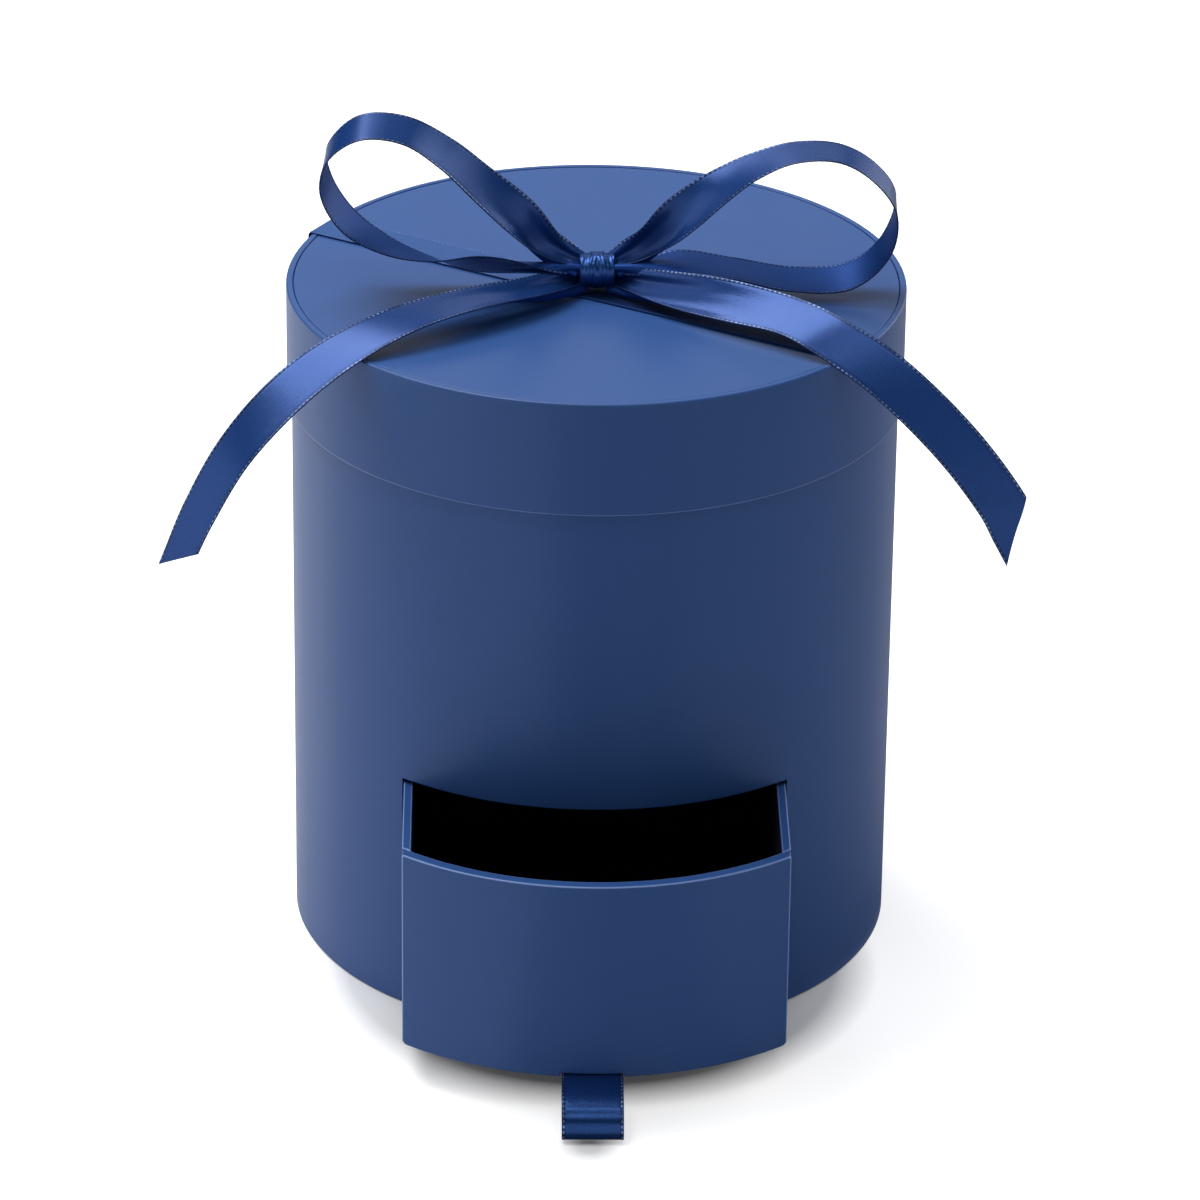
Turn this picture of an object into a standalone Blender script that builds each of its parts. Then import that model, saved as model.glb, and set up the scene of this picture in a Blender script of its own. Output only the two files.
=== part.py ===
"""Round gift box: wrapped board body, lift-off lid, curved-front drawer, ribbon pull and satin bow.

The origin is the centre of the base on the surface that the box stands on. +Z is up and the
drawer opens towards -Y. The drawer stands partly open, as it is shown, and slides along Y.
"""
import math

import bmesh
import bpy
import numpy as np
from mathutils import Matrix, Vector

MM = 0.001

# Lid
LID_RADIUS = 100.0 * MM
LID_DEPTH = 38.0 * MM
LID_WALL = 1.2 * MM
LID_CLEARANCE = 0.35 * MM
LID_RIM_WIDTH = 2.2 * MM
LID_RIM_ROUND = 0.7 * MM
LID_HEM_ROUND = 0.4 * MM
LID_TOP_BOARD = 1.8 * MM
LID_TOP_RECESS = 0.2 * MM
LID_TOP_BEVEL = 0.3 * MM
LINING_BOARD = 0.8 * MM
LINING_CLEARANCE = 0.6 * MM

# Body
BOX_HEIGHT = 223.5 * MM
BODY_WALL = 2.0 * MM
BASE_BOARD = 2.0 * MM
RISER_WALL = 3.0 * MM
DECK_BOARD = 1.8 * MM
SILL_HEIGHT = 12.2 * MM
FLOOR_BOARD = 1.8 * MM
GUIDE_BOARD = 2.0 * MM
STOP_BOARD = 2.0 * MM

# Drawer
DRAWER_WIDTH = 122.5 * MM
DRAWER_HEIGHT = 68.0 * MM
DRAWER_OPEN = 49.4 * MM
DRAWER_FRONT_BOARD = 3.8 * MM
DRAWER_SIDE_BOARD = 2.8 * MM
DRAWER_BACK_BOARD = 2.0 * MM
DRAWER_FLOOR_BOARD = 1.8 * MM
DRAWER_FLOOR_RECESS = 1.2 * MM
FRONT_EDGE_ROUND = 0.9 * MM
SLOT_SIDE_GAP = 0.35 * MM
SLOT_TOP_GAP = 1.4 * MM

# Gaps
GLUE_GAP = 0.3 * MM
RUN_GAP = 0.3 * MM
CUT_OVERRUN = 5.0 * MM

# Ribbon
RIBBON_WIDTH = 15.5 * MM
RIBBON_THICK = 0.7 * MM
KNOT_LENGTH = 11.5 * MM
KNOT_HEIGHT = 11.8 * MM
KNOT_DEPTH = 13.0 * MM
KNOT_ROUND = 1.6 * MM
BAND_OFFSET = 7.9 * MM
BAND_DROP = 5.0 * MM
BAND_BEND = 1.0 * MM
SLIT_HEIGHT = 1.5 * MM
SLIT_SIDE_GAP = 0.4 * MM
SLIT_DEPTH_SHARE = 0.6
BAND_HEADING_DEGREES = -31.0

# Drawer pull
PULL_WIDTH = 19.5 * MM
PULL_THICK = 0.5 * MM
PULL_REACH = 19.9 * MM
PULL_TAIL = 25.0 * MM
PULL_OFFSET = 0.9 * MM
PULL_NOTCH_GAP = 0.4 * MM

# Resolution
TURN_SEGMENTS = 96
ROUND_SEGMENTS = 3
KNOT_SEGMENTS = 24
STATION_STEPS = 4
RIBBON_CELLS = 2
BAND_CELLS = 6
BAND_BEND_STEPS = 3
TURN_MERGE = 0.01 * MM
SMOOTH_ANGLE_DEGREES = 35.0
BEVEL_ANGLE_DEGREES = 40.0

# Where the gathered ribbon ends meet the knot, as shares of its height above its middle
LOOP_TOP_LEVEL_SHARE = 0.17
LOOP_UNDER_LEVEL_SHARE = -0.04
TAIL_LEVEL_SHARE = -0.24
GATHER_SHARE = 0.35

# Slant of the cut at each tail's end, as shares of the ribbon's width
LEFT_TAIL_CUT_SHARE = 0.61
RIGHT_TAIL_CUT_SHARE = -1.00

# Stations along each bow strand, as shares of the lid's radius from the knot's middle in plan
# and from the lid's top in height, then the direction across the ribbon, then its gathered width
LEFT_LOOP_SHARES = [
    (-0.160, 0.005, 0.155, 0.46, 0.69, 0.56, 0.85),
    (-0.250, -0.010, 0.255, 0.49, 0.71, 0.50, 1.00),
    (-0.367, -0.005, 0.364, 0.39, 0.85, 0.37, 1.00),
    (-0.484, -0.002, 0.469, 0.24, 0.92, 0.31, 1.00),
    (-0.616, -0.005, 0.549, 0.06, 0.96, 0.26, 1.00),
    (-0.759, -0.006, 0.557, -0.02, 0.97, 0.24, 1.00),
    (-0.861, 0.003, 0.468, 0.01, 1.00, 0.08, 1.00),
    (-0.867, 0.012, 0.352, 0.20, 0.97, 0.11, 1.00),
    (-0.795, 0.010, 0.231, 0.20, 0.96, 0.16, 1.00),
    (-0.669, -0.002, 0.151, 0.08, 1.00, 0.00, 1.00),
    (-0.530, -0.010, 0.110, 0.00, 0.96, -0.29, 1.00),
    (-0.380, -0.005, 0.093, -0.04, 0.76, -0.65, 1.00),
    (-0.220, 0.010, 0.075, -0.04, 0.86, -0.50, 0.80),
]
RIGHT_LOOP_SHARES = [
    (0.169, 0.001, 0.173, -0.56, 0.40, 0.72, 0.85),
    (0.277, 0.000, 0.267, -0.47, 0.70, 0.53, 1.00),
    (0.383, -0.002, 0.358, -0.28, 0.88, 0.37, 1.00),
    (0.495, -0.002, 0.431, -0.10, 0.97, 0.21, 1.00),
    (0.625, -0.003, 0.480, 0.00, 1.00, 0.09, 1.00),
    (0.768, -0.006, 0.479, 0.03, 1.00, 0.04, 1.00),
    (0.883, -0.010, 0.413, 0.04, 1.00, 0.07, 1.00),
    (0.953, -0.001, 0.299, 0.02, 0.99, 0.09, 1.00),
    (0.919, -0.003, 0.153, -0.15, 0.98, 0.04, 1.00),
    (0.800, -0.020, 0.062, -0.10, 0.97, 0.20, 1.00),
    (0.619, -0.015, 0.050, 0.05, 0.98, 0.15, 1.00),
    (0.433, -0.002, 0.088, 0.08, 0.99, -0.08, 1.00),
    (0.245, 0.010, 0.088, 0.03, 0.97, -0.22, 0.80),
]
LEFT_TAIL_SHARES = [
    (-0.208, -0.142, 0.060, -0.60, 0.80, 0.06, 0.85),
    (-0.382, -0.261, 0.082, -0.57, 0.82, 0.05, 1.00),
    (-0.564, -0.382, 0.080, -0.56, 0.82, 0.11, 1.00),
    (-0.727, -0.494, 0.049, -0.60, 0.78, 0.20, 1.00),
    (-0.885, -0.602, -0.015, -0.65, 0.70, 0.29, 1.00),
    (-1.023, -0.696, -0.110, -0.68, 0.68, 0.27, 1.00),
    (-1.149, -0.781, -0.240, -0.67, 0.73, 0.15, 1.00),
    (-1.248, -0.848, -0.401, -0.64, 0.76, 0.06, 1.00),
    (-1.313, -0.894, -0.538, -0.59, 0.80, -0.01, 1.00),
]
RIGHT_TAIL_SHARES = [
    (0.236, -0.166, 0.071, 0.49, 0.76, 0.43, 0.85),
    (0.425, -0.298, 0.088, 0.49, 0.74, 0.46, 1.00),
    (0.601, -0.418, 0.091, 0.55, 0.69, 0.46, 1.00),
    (0.726, -0.519, 0.064, 0.64, 0.57, 0.51, 1.00),
    (0.879, -0.619, -0.006, 0.66, 0.41, 0.60, 1.00),
    (1.015, -0.711, -0.100, 0.71, 0.28, 0.64, 1.00),
    (1.141, -0.799, -0.211, 0.77, 0.21, 0.60, 1.00),
    (1.248, -0.873, -0.336, 0.84, 0.16, 0.51, 1.00),
    (1.299, -0.911, -0.422, 0.87, 0.14, 0.46, 1.00),
]

# Side view of the pull's loop in front of the drawer: reach and height, as shares of its reach
# and of the height of the drawer's underside over the ground
PULL_LOOP_SHARES = [
    (0.10, 1.03),
    (0.35, 0.97),
    (0.62, 0.88),
    (0.84, 0.77),
    (0.95, 0.66),
    (1.00, 0.48),
    (1.00, 0.26),
    (0.95, 0.12),
    (0.84, 0.08),
    (0.62, 0.16),
    (0.36, 0.44),
    (0.14, 0.82),
]

# Colours, linear, with roughness
PAPER_LOOK = ((0.030, 0.065, 0.190, 1.0), 0.55)
LINING_LOOK = ((0.012, 0.020, 0.050, 1.0), 0.80)
BOARD_LOOK = ((0.020, 0.035, 0.090, 1.0), 0.75)
SATIN_LOOK = ((0.015, 0.055, 0.230, 1.0), 0.35)

# Places worked out from the sizes above
BODY_RADIUS = LID_RADIUS - LID_WALL - LID_CLEARANCE
BORE_RADIUS = BODY_RADIUS - BODY_WALL
INSERT_RADIUS = BORE_RADIUS - GLUE_GAP
LID_TOP_HIGH = BOX_HEIGHT - LID_TOP_RECESS
LID_TOP_LOW = LID_TOP_HIGH - LID_TOP_BOARD
BODY_TOP = LID_TOP_LOW - GLUE_GAP
DRAWER_HALF = DRAWER_WIDTH / 2
DRAWER_LOW = SILL_HEIGHT + RUN_GAP
DRAWER_HIGH = DRAWER_LOW + DRAWER_HEIGHT
SLOT_HALF = DRAWER_HALF + SLOT_SIDE_GAP
SLOT_HIGH = DRAWER_HIGH + SLOT_TOP_GAP
FLOOR_LOW = SLOT_HIGH + GLUE_GAP
GUIDE_OUT = SLOT_HALF + GUIDE_BOARD
GUIDE_END = math.sqrt(INSERT_RADIUS**2 - GUIDE_OUT**2) - GLUE_GAP
STOP_FACE = GUIDE_END - STOP_BOARD
DRAWER_BACK = STOP_FACE - RUN_GAP
FRONT_INNER = BODY_RADIUS - DRAWER_FRONT_BOARD
DRAWER_CAVITY_HALF = DRAWER_HALF - DRAWER_SIDE_BOARD
BAND_HIGH = BOX_HEIGHT + GLUE_GAP + RIBBON_THICK
KNOT_MIDDLE = BAND_HIGH + GLUE_GAP + KNOT_HEIGHT / 2
BAND_HEADING = math.radians(BAND_HEADING_DEGREES)
KNOT_FORE = -BAND_OFFSET / math.cos(BAND_HEADING)


def clear_scene():
    """Remove every object that the file opened with."""
    for item in list(bpy.data.objects):
        bpy.data.objects.remove(item, do_unlink=True)


def new_collection(name):
    """Make a collection in the scene."""
    group = bpy.data.collections.new(name)
    bpy.context.scene.collection.children.link(group)
    return group


def make_material(name, look):
    """Make a Principled material from a colour and a roughness."""
    colour, roughness = look
    material = bpy.data.materials.new(name)
    material.use_nodes = True
    shader = material.node_tree.nodes["Principled BSDF"]
    shader.inputs["Base Color"].default_value = colour
    shader.inputs["Roughness"].default_value = roughness
    shader.inputs["Metallic"].default_value = 0.0
    material.diffuse_color = colour
    return material


def add_object(name, mesh, look=None, parent=None):
    """Put a mesh in the scene as a part, or as a cutter where it has no look."""
    item = bpy.data.objects.new(name, mesh)
    item.parent = parent
    if look is None:
        item.hide_render = True
        item.display_type = "WIRE"
        CUTTERS.objects.link(item)
    else:
        mesh.materials.append(make_material(name, look))
        PARTS.objects.link(item)
    return item


def smooth(item):
    """Shade a round piece smooth, with its corners left sharp."""
    item.data.shade_smooth()
    item.data.set_sharp_from_angle(angle=math.radians(SMOOTH_ANGLE_DEGREES))


def mesh_from(shape, name):
    """Turn a worked shape into a mesh."""
    mesh = bpy.data.meshes.new(name)
    shape.to_mesh(mesh)
    shape.free()
    return mesh


def box_mesh(name, low, high):
    """Make a box mesh from its lowest to its highest corner."""
    size = Vector(high) - Vector(low)
    middle = (Vector(high) + Vector(low)) / 2
    stretch = Matrix.Diagonal((*size, 1))
    shape = bmesh.new()
    bmesh.ops.create_cube(shape, size=1, matrix=Matrix.Translation(middle) @ stretch)
    return mesh_from(shape, name)


def turned_mesh(name, outline):
    """Make the outline of a turned ring: its outer side runs from top to bottom."""
    mesh = bpy.data.meshes.new(name)
    count = len(outline)
    corners = [(radius, 0.0, height) for radius, height in outline]
    mesh.from_pydata(corners, [(i, (i + 1) % count) for i in range(count)], [])
    return mesh


def turn(item):
    """Turn an outline through a full circle about Z."""
    screw = item.modifiers.new("turn", "SCREW")
    screw.steps = TURN_SEGMENTS
    screw.render_steps = TURN_SEGMENTS
    screw.use_merge_vertices = True
    screw.merge_threshold = TURN_MERGE
    screw.use_smooth_shade = True
    return item


def disc_mesh(name, radius, low, high):
    """Make a solid disc about the Z axis, with corners that line up with the turned rings."""
    shape = bmesh.new()
    bmesh.ops.create_cone(
        shape,
        cap_ends=True,
        segments=TURN_SEGMENTS,
        radius1=radius,
        radius2=radius,
        depth=high - low,
        matrix=Matrix.Translation((0, 0, (low + high) / 2)) @ Matrix.Rotation(math.pi / 2, 4, "Z"),
    )
    return mesh_from(shape, name)


def boolean(item, other, operation="DIFFERENCE"):
    """Cut or trim one piece with another."""
    step = item.modifiers.new(other.name, "BOOLEAN")
    step.operation = operation
    step.solver = "EXACT"
    step.object = other


def bevel(item, width):
    """Round the sharp edges of a piece."""
    step = item.modifiers.new("round", "BEVEL")
    step.width = width
    step.segments = ROUND_SEGMENTS
    step.limit_method = "ANGLE"
    step.angle_limit = math.radians(BEVEL_ANGLE_DEGREES)


def arc(centre, radius, first, last):
    """List the points of an arc in the outline's plane, angles in degrees."""
    steps = range(ROUND_SEGMENTS + 1)
    angles = [math.radians(first + (last - first) * i / ROUND_SEGMENTS) for i in steps]
    return [(centre[0] + radius * math.cos(a), centre[1] + radius * math.sin(a)) for a in angles]


def make_body():
    """Make the body tube, its base, the raised deck and the shelf over the drawer."""
    tube_outline = [
        (BODY_RADIUS, BODY_TOP),
        (BODY_RADIUS, 0),
        (BORE_RADIUS, 0),
        (BORE_RADIUS, BODY_TOP),
    ]
    tube = turn(add_object("body_tube", turned_mesh("body_tube", tube_outline), PAPER_LOOK))
    slot = box_mesh(
        "slot_cutter",
        (-SLOT_HALF, -BODY_RADIUS - CUT_OVERRUN, SILL_HEIGHT),
        (SLOT_HALF, 0, SLOT_HIGH),
    )
    boolean(tube, add_object("slot_cutter", slot))

    add_object("base_disc", disc_mesh("base_disc", INSERT_RADIUS, 0, BASE_BOARD), BOARD_LOOK)
    deck_low = SILL_HEIGHT - DECK_BOARD
    riser_low = BASE_BOARD + GLUE_GAP
    riser_high = deck_low - GLUE_GAP
    riser_outline = [
        (INSERT_RADIUS, riser_high),
        (INSERT_RADIUS, riser_low),
        (INSERT_RADIUS - RISER_WALL, riser_low),
        (INSERT_RADIUS - RISER_WALL, riser_high),
    ]
    turn(add_object("riser_ring", turned_mesh("riser_ring", riser_outline), BOARD_LOOK))
    deck = disc_mesh("drawer_deck", INSERT_RADIUS, deck_low, SILL_HEIGHT)
    add_object("drawer_deck", deck, LINING_LOOK)
    shelf = disc_mesh("compartment_floor", INSERT_RADIUS, FLOOR_LOW, FLOOR_LOW + FLOOR_BOARD)
    add_object("compartment_floor", shelf, LINING_LOOK)


def make_drawer_housing():
    """Make the two boards that guide the drawer and carry the shelf, and the board that stops it."""
    low = SILL_HEIGHT + GLUE_GAP
    high = FLOOR_LOW - GLUE_GAP
    for side, label in ((-1, "left"), (1, "right")):
        near, far = sorted((side * SLOT_HALF, side * GUIDE_OUT))
        name = f"drawer_guide_{label}"
        guide = box_mesh(name, (near, -GUIDE_END, low), (far, GUIDE_END, high))
        add_object(name, guide, LINING_LOOK)
    stop_half = SLOT_HALF - GLUE_GAP
    stop = box_mesh("drawer_stop", (-stop_half, STOP_FACE, low), (stop_half, GUIDE_END, high))
    add_object("drawer_stop", stop, LINING_LOOK)


def make_drawer_front(slide):
    """Make the curved front board: a slice of a turned ring, notched for the pull."""
    edge = BODY_RADIUS - FRONT_EDGE_ROUND
    outline = [
        *arc((edge, DRAWER_HIGH - FRONT_EDGE_ROUND), FRONT_EDGE_ROUND, 90, 0),
        *arc((edge, DRAWER_LOW + FRONT_EDGE_ROUND), FRONT_EDGE_ROUND, 0, -90),
        (FRONT_INNER, DRAWER_LOW),
        (FRONT_INNER, DRAWER_HIGH),
    ]
    mesh = turned_mesh("drawer_front", outline)
    front = turn(add_object("drawer_front", mesh, PAPER_LOOK, slide))
    fore = -BODY_RADIUS - CUT_OVERRUN
    under = DRAWER_LOW - CUT_OVERRUN
    keep = box_mesh(
        "front_width_guide",
        (-DRAWER_HALF, fore, under),
        (DRAWER_HALF, 0, DRAWER_HIGH + CUT_OVERRUN),
    )
    boolean(front, add_object("front_width_guide", keep, None, slide), "INTERSECT")
    notch_half = PULL_WIDTH / 2 + PULL_NOTCH_GAP
    notch = box_mesh(
        "notch_cutter",
        (-PULL_OFFSET - notch_half, fore, under),
        (-PULL_OFFSET + notch_half, 0, DRAWER_LOW + DRAWER_FLOOR_RECESS),
    )
    boolean(front, add_object("notch_cutter", notch, None, slide))


def make_drawer_boards(slide):
    """Make the drawer's sides, back and floor, with their front ends cut to the front's curve."""
    inside = disc_mesh(
        "front_curve_guide",
        FRONT_INNER - GLUE_GAP,
        DRAWER_LOW - CUT_OVERRUN,
        DRAWER_HIGH + CUT_OVERRUN,
    )
    curve = add_object("front_curve_guide", inside, None, slide)
    for side, label in ((-1, "left"), (1, "right")):
        near, far = sorted((side * DRAWER_CAVITY_HALF, side * DRAWER_HALF))
        name = f"drawer_side_{label}"
        board = box_mesh(name, (near, -BODY_RADIUS, DRAWER_LOW), (far, DRAWER_BACK, DRAWER_HIGH))
        boolean(add_object(name, board, PAPER_LOOK, slide), curve, "INTERSECT")

    inner_half = DRAWER_CAVITY_HALF - GLUE_GAP
    back_face = DRAWER_BACK - DRAWER_BACK_BOARD
    back_low = (-inner_half, back_face, DRAWER_LOW)
    back_high = (inner_half, DRAWER_BACK, DRAWER_HIGH)
    add_object("drawer_back", box_mesh("drawer_back", back_low, back_high), PAPER_LOOK, slide)
    floor_low = DRAWER_LOW + DRAWER_FLOOR_RECESS
    bottom = box_mesh(
        "drawer_bottom",
        (-inner_half, -BODY_RADIUS, floor_low),
        (inner_half, back_face - GLUE_GAP, floor_low + DRAWER_FLOOR_BOARD),
    )
    boolean(add_object("drawer_bottom", bottom, LINING_LOOK, slide), curve, "INTERSECT")


def make_lid():
    """Make the lid's wall with its ribbon slits, its top board and the lining under it."""
    rim_inner = LID_RADIUS - LID_RIM_WIDTH
    wall_inner = LID_RADIUS - LID_WALL
    hem = BOX_HEIGHT - LID_DEPTH
    outline = [
        *arc((LID_RADIUS - LID_RIM_ROUND, BOX_HEIGHT - LID_RIM_ROUND), LID_RIM_ROUND, 90, 0),
        *arc((LID_RADIUS - LID_HEM_ROUND, hem + LID_HEM_ROUND), LID_HEM_ROUND, 0, -90),
        (wall_inner, hem),
        (wall_inner, LID_TOP_LOW),
        (rim_inner, LID_TOP_LOW),
        (rim_inner, BOX_HEIGHT),
    ]
    wall = turn(add_object("lid_wall", turned_mesh("lid_wall", outline), PAPER_LOOK))
    boolean(wall, make_slit_cutter())
    disc = disc_mesh("lid_top", rim_inner - GLUE_GAP, LID_TOP_LOW, LID_TOP_HIGH)
    bevel(add_object("lid_top", disc, PAPER_LOOK), LID_TOP_BEVEL)
    lining_high = LID_TOP_LOW - GLUE_GAP
    lining_radius = BORE_RADIUS - LINING_CLEARANCE
    lining = disc_mesh("lid_lining", lining_radius, lining_high - LINING_BOARD, lining_high)
    add_object("lid_lining", lining, LINING_LOOK)


def band_frame():
    """Give the directions along and across the band on the lid's top."""
    along = Vector((math.cos(BAND_HEADING), math.sin(BAND_HEADING), 0))
    across = Vector((-math.sin(BAND_HEADING), math.cos(BAND_HEADING), 0))
    return along, across


def make_slit_cutter():
    """Make the cutter of the two slits that take the band's ends: a ring kept where the band is."""
    low = BOX_HEIGHT - BAND_DROP - SLIT_HEIGHT / 2
    high = low + SLIT_HEIGHT
    floor = LID_RADIUS - LID_WALL * SLIT_DEPTH_SHARE
    reach = LID_RADIUS + CUT_OVERRUN
    outline = [(reach, high), (reach, low), (floor, low), (floor, high)]
    ring = turn(add_object("slit_cutter", turned_mesh("slit_cutter", outline)))
    half = RIBBON_WIDTH / 2 + SLIT_SIDE_GAP
    bar_mesh = box_mesh(
        "slit_width_guide",
        (-reach - CUT_OVERRUN, -BAND_OFFSET - half, low - CUT_OVERRUN),
        (reach + CUT_OVERRUN, -BAND_OFFSET + half, high + CUT_OVERRUN),
    )
    bar = add_object("slit_width_guide", bar_mesh)
    bar.rotation_euler.z = BAND_HEADING
    boolean(ring, bar, "INTERSECT")
    return ring


def strip_object(name, rows, thickness, look, parent=None):
    """Make a ribbon from rows of points across it, thickened evenly to both sides."""
    across = len(rows[0])
    points = [point for row in rows for point in row]
    faces = []
    for row in range(len(rows) - 1):
        for cell in range(across - 1):
            first = row * across + cell
            faces.append((first, first + 1, first + 1 + across, first + across))
    mesh = bpy.data.meshes.new(name)
    mesh.from_pydata([tuple(point) for point in points], [], faces)
    item = add_object(name, mesh, look, parent)
    step = item.modifiers.new("thickness", "SOLIDIFY")
    step.thickness = thickness
    step.offset = 0
    smooth(item)
    return item


def band_column(offset):
    """List the points of the band along one line, from slit to slit over the lid's top."""
    along, across = band_frame()
    mid_gap = GLUE_GAP + RIBBON_THICK / 2
    bend = BAND_BEND + mid_gap
    corner = Vector((LID_RADIUS - BAND_BEND, BOX_HEIGHT - BAND_BEND))
    floor = LID_RADIUS - LID_WALL * SLIT_DEPTH_SHARE + GLUE_GAP
    slit_level = BOX_HEIGHT - BAND_DROP
    profile = [(floor, slit_level), (LID_RADIUS, slit_level)]
    profile.append((LID_RADIUS + mid_gap, slit_level + mid_gap))
    for step in range(BAND_BEND_STEPS + 1):
        angle = math.pi / 2 * step / BAND_BEND_STEPS
        profile.append((corner.x + bend * math.cos(angle), corner.y + bend * math.sin(angle)))
    points = []
    for end, run in ((-1, profile), (1, reversed(profile))):
        for radius, height in run:
            reach = math.sqrt(radius**2 - offset**2)
            points.append(along * reach * end + across * offset + Vector((0, 0, height)))
    return points


def make_band():
    """Make the ribbon that lies across the lid, turns down over its rim and enters the slits."""
    columns = []
    for cell in range(BAND_CELLS + 1):
        offset = -BAND_OFFSET + RIBBON_WIDTH * (cell / BAND_CELLS - 0.5)
        columns.append(band_column(offset))
    rows = list(zip(*columns))
    strip_object("ribbon_band", rows, RIBBON_THICK, SATIN_LOOK)


def make_knot():
    """Make the knot's barrel, with its length along X."""
    shape = bmesh.new()
    scale = Matrix.Diagonal((KNOT_HEIGHT / 2, KNOT_DEPTH / 2, KNOT_LENGTH, 1))
    turn_over = Matrix.Rotation(math.pi / 2, 4, "Y")
    bmesh.ops.create_cone(
        shape,
        cap_ends=True,
        segments=KNOT_SEGMENTS,
        radius1=1,
        radius2=1,
        depth=1,
        matrix=Matrix.Translation((0, KNOT_FORE, KNOT_MIDDLE)) @ turn_over @ scale,
    )
    knot = add_object("bow_knot", mesh_from(shape, "bow_knot"), SATIN_LOOK)
    bevel(knot, KNOT_ROUND)
    smooth(knot)


def curve_through(stations):
    """Read a smooth curve through stations, a fixed number of steps between each two."""
    rows = np.array(stations, dtype=float)
    padded = np.vstack([2 * rows[0] - rows[1], rows, 2 * rows[-1] - rows[-2]])
    out = []
    for first in range(1, len(padded) - 2):
        before, start, end, after = padded[first - 1:first + 3]
        for step in range(STATION_STEPS):
            t = step / STATION_STEPS
            line = 2 * start + (end - before) * t
            bend = (2 * before - 5 * start + 4 * end - after) * t**2
            ease = (3 * start - before - 3 * end + after) * t**3
            out.append((line + bend + ease) / 2)
    out.append(rows[-1])
    return np.array(out)


def placed(shares):
    """Turn a table of shares into stations in metres from the origin."""
    stations = []
    for out, fore, rise, *rest in shares:
        place = (out * LID_RADIUS, KNOT_FORE + fore * LID_RADIUS, BOX_HEIGHT + rise * LID_RADIUS)
        stations.append((*place, *rest))
    return stations


def knot_station(side, level_share):
    """Place the gathered end of a strand against one side of the knot."""
    out = side * (KNOT_LENGTH / 2 + GLUE_GAP)
    height = KNOT_MIDDLE + level_share * KNOT_HEIGHT
    return (out, KNOT_FORE, height, 0, 1, 0, GATHER_SHARE)


def ribbon_rows(stations, knot_at_both_ends, cut_share=0):
    """Lay the rows of a flat ribbon along its stations, with a slanted cut at a free end.

    An end at the knot lies flat against its side and is square to the ribbon by the next station.
    """
    rows = curve_through(stations)
    centres = rows[:, :3]
    headings = np.gradient(centres, axis=0)
    headings /= np.linalg.norm(headings, axis=1)[:, None]
    square = np.clip(np.arange(len(rows)) / STATION_STEPS, 0, 1)
    if knot_at_both_ends:
        square = np.minimum(square, square[::-1])
    along = np.sum(headings * rows[:, 3:6], axis=1) * square
    across = rows[:, 3:6] - headings * along[:, None]
    across /= np.linalg.norm(across, axis=1)[:, None]
    halves = rows[:, 6] * RIBBON_WIDTH / 2
    out = []
    for index, centre in enumerate(centres):
        slant = cut_share if index == len(centres) - 1 else 0
        row = []
        for cell in range(RIBBON_CELLS + 1):
            side = 2 * cell / RIBBON_CELLS - 1
            row.append(centre + (across[index] + headings[index] * slant) * halves[index] * side)
        out.append(row)
    return out


def make_bow():
    """Make the two loops and the two tails that come out of the knot."""
    loops = (
        (-1, "bow_loop_left", LEFT_LOOP_SHARES),
        (1, "bow_loop_right", RIGHT_LOOP_SHARES),
    )
    for side, name, shares in loops:
        first = knot_station(side, LOOP_TOP_LEVEL_SHARE)
        last = knot_station(side, LOOP_UNDER_LEVEL_SHARE)
        rows = ribbon_rows([first, *placed(shares), last], True)
        strip_object(name, rows, RIBBON_THICK, SATIN_LOOK)
    tails = (
        (-1, "bow_tail_left", LEFT_TAIL_SHARES, LEFT_TAIL_CUT_SHARE),
        (1, "bow_tail_right", RIGHT_TAIL_SHARES, RIGHT_TAIL_CUT_SHARE),
    )
    for side, name, shares, cut_share in tails:
        first = knot_station(side, TAIL_LEVEL_SHARE)
        rows = ribbon_rows([first, *placed(shares)], False, cut_share)
        strip_object(name, rows, RIBBON_THICK, SATIN_LOOK)


def make_pull(slide):
    """Make the drawer's pull: a folded ribbon whose tail is glued under the drawer's floor."""
    level = DRAWER_LOW + DRAWER_FLOOR_RECESS - GLUE_GAP - PULL_THICK / 2
    path = [(-BODY_RADIUS + PULL_TAIL, level), (-BODY_RADIUS, level)]
    for reach, height in PULL_LOOP_SHARES:
        path.append((-BODY_RADIUS - reach * PULL_REACH, height * DRAWER_LOW))
    line = curve_through(path)
    left = -PULL_OFFSET - PULL_WIDTH / 2
    right = -PULL_OFFSET + PULL_WIDTH / 2
    rows = [[(left, y, z), (right, y, z)] for y, z in line]
    strip_object("pull_ribbon", rows, PULL_THICK, SATIN_LOOK, slide)


def main():
    """Build the box, the drawer on its slide, and the lid with its ribbons."""
    make_body()
    make_drawer_housing()
    slide = bpy.data.objects.new("drawer_slide", None)
    slide.location = (0, -DRAWER_OPEN, 0)
    PARTS.objects.link(slide)
    make_drawer_front(slide)
    make_drawer_boards(slide)
    make_pull(slide)
    make_lid()
    make_band()
    make_knot()
    make_bow()


clear_scene()
PARTS = new_collection("round_gift_box")
CUTTERS = new_collection("cutters")
main()
bpy.context.view_layer.update()
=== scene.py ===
"""Looks of a round gift box: navy wrapped board, dark lining, a satin bow and a ribbon pull.

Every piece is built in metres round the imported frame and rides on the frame's bodies.
"""
import logging
import math
from collections.abc import Callable, Sequence
from dataclasses import dataclass, field
from enum import Enum
from functools import partial
from typing import Any

import bmesh
import bpy
import numpy as np
from mathutils import Matrix, Vector


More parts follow.
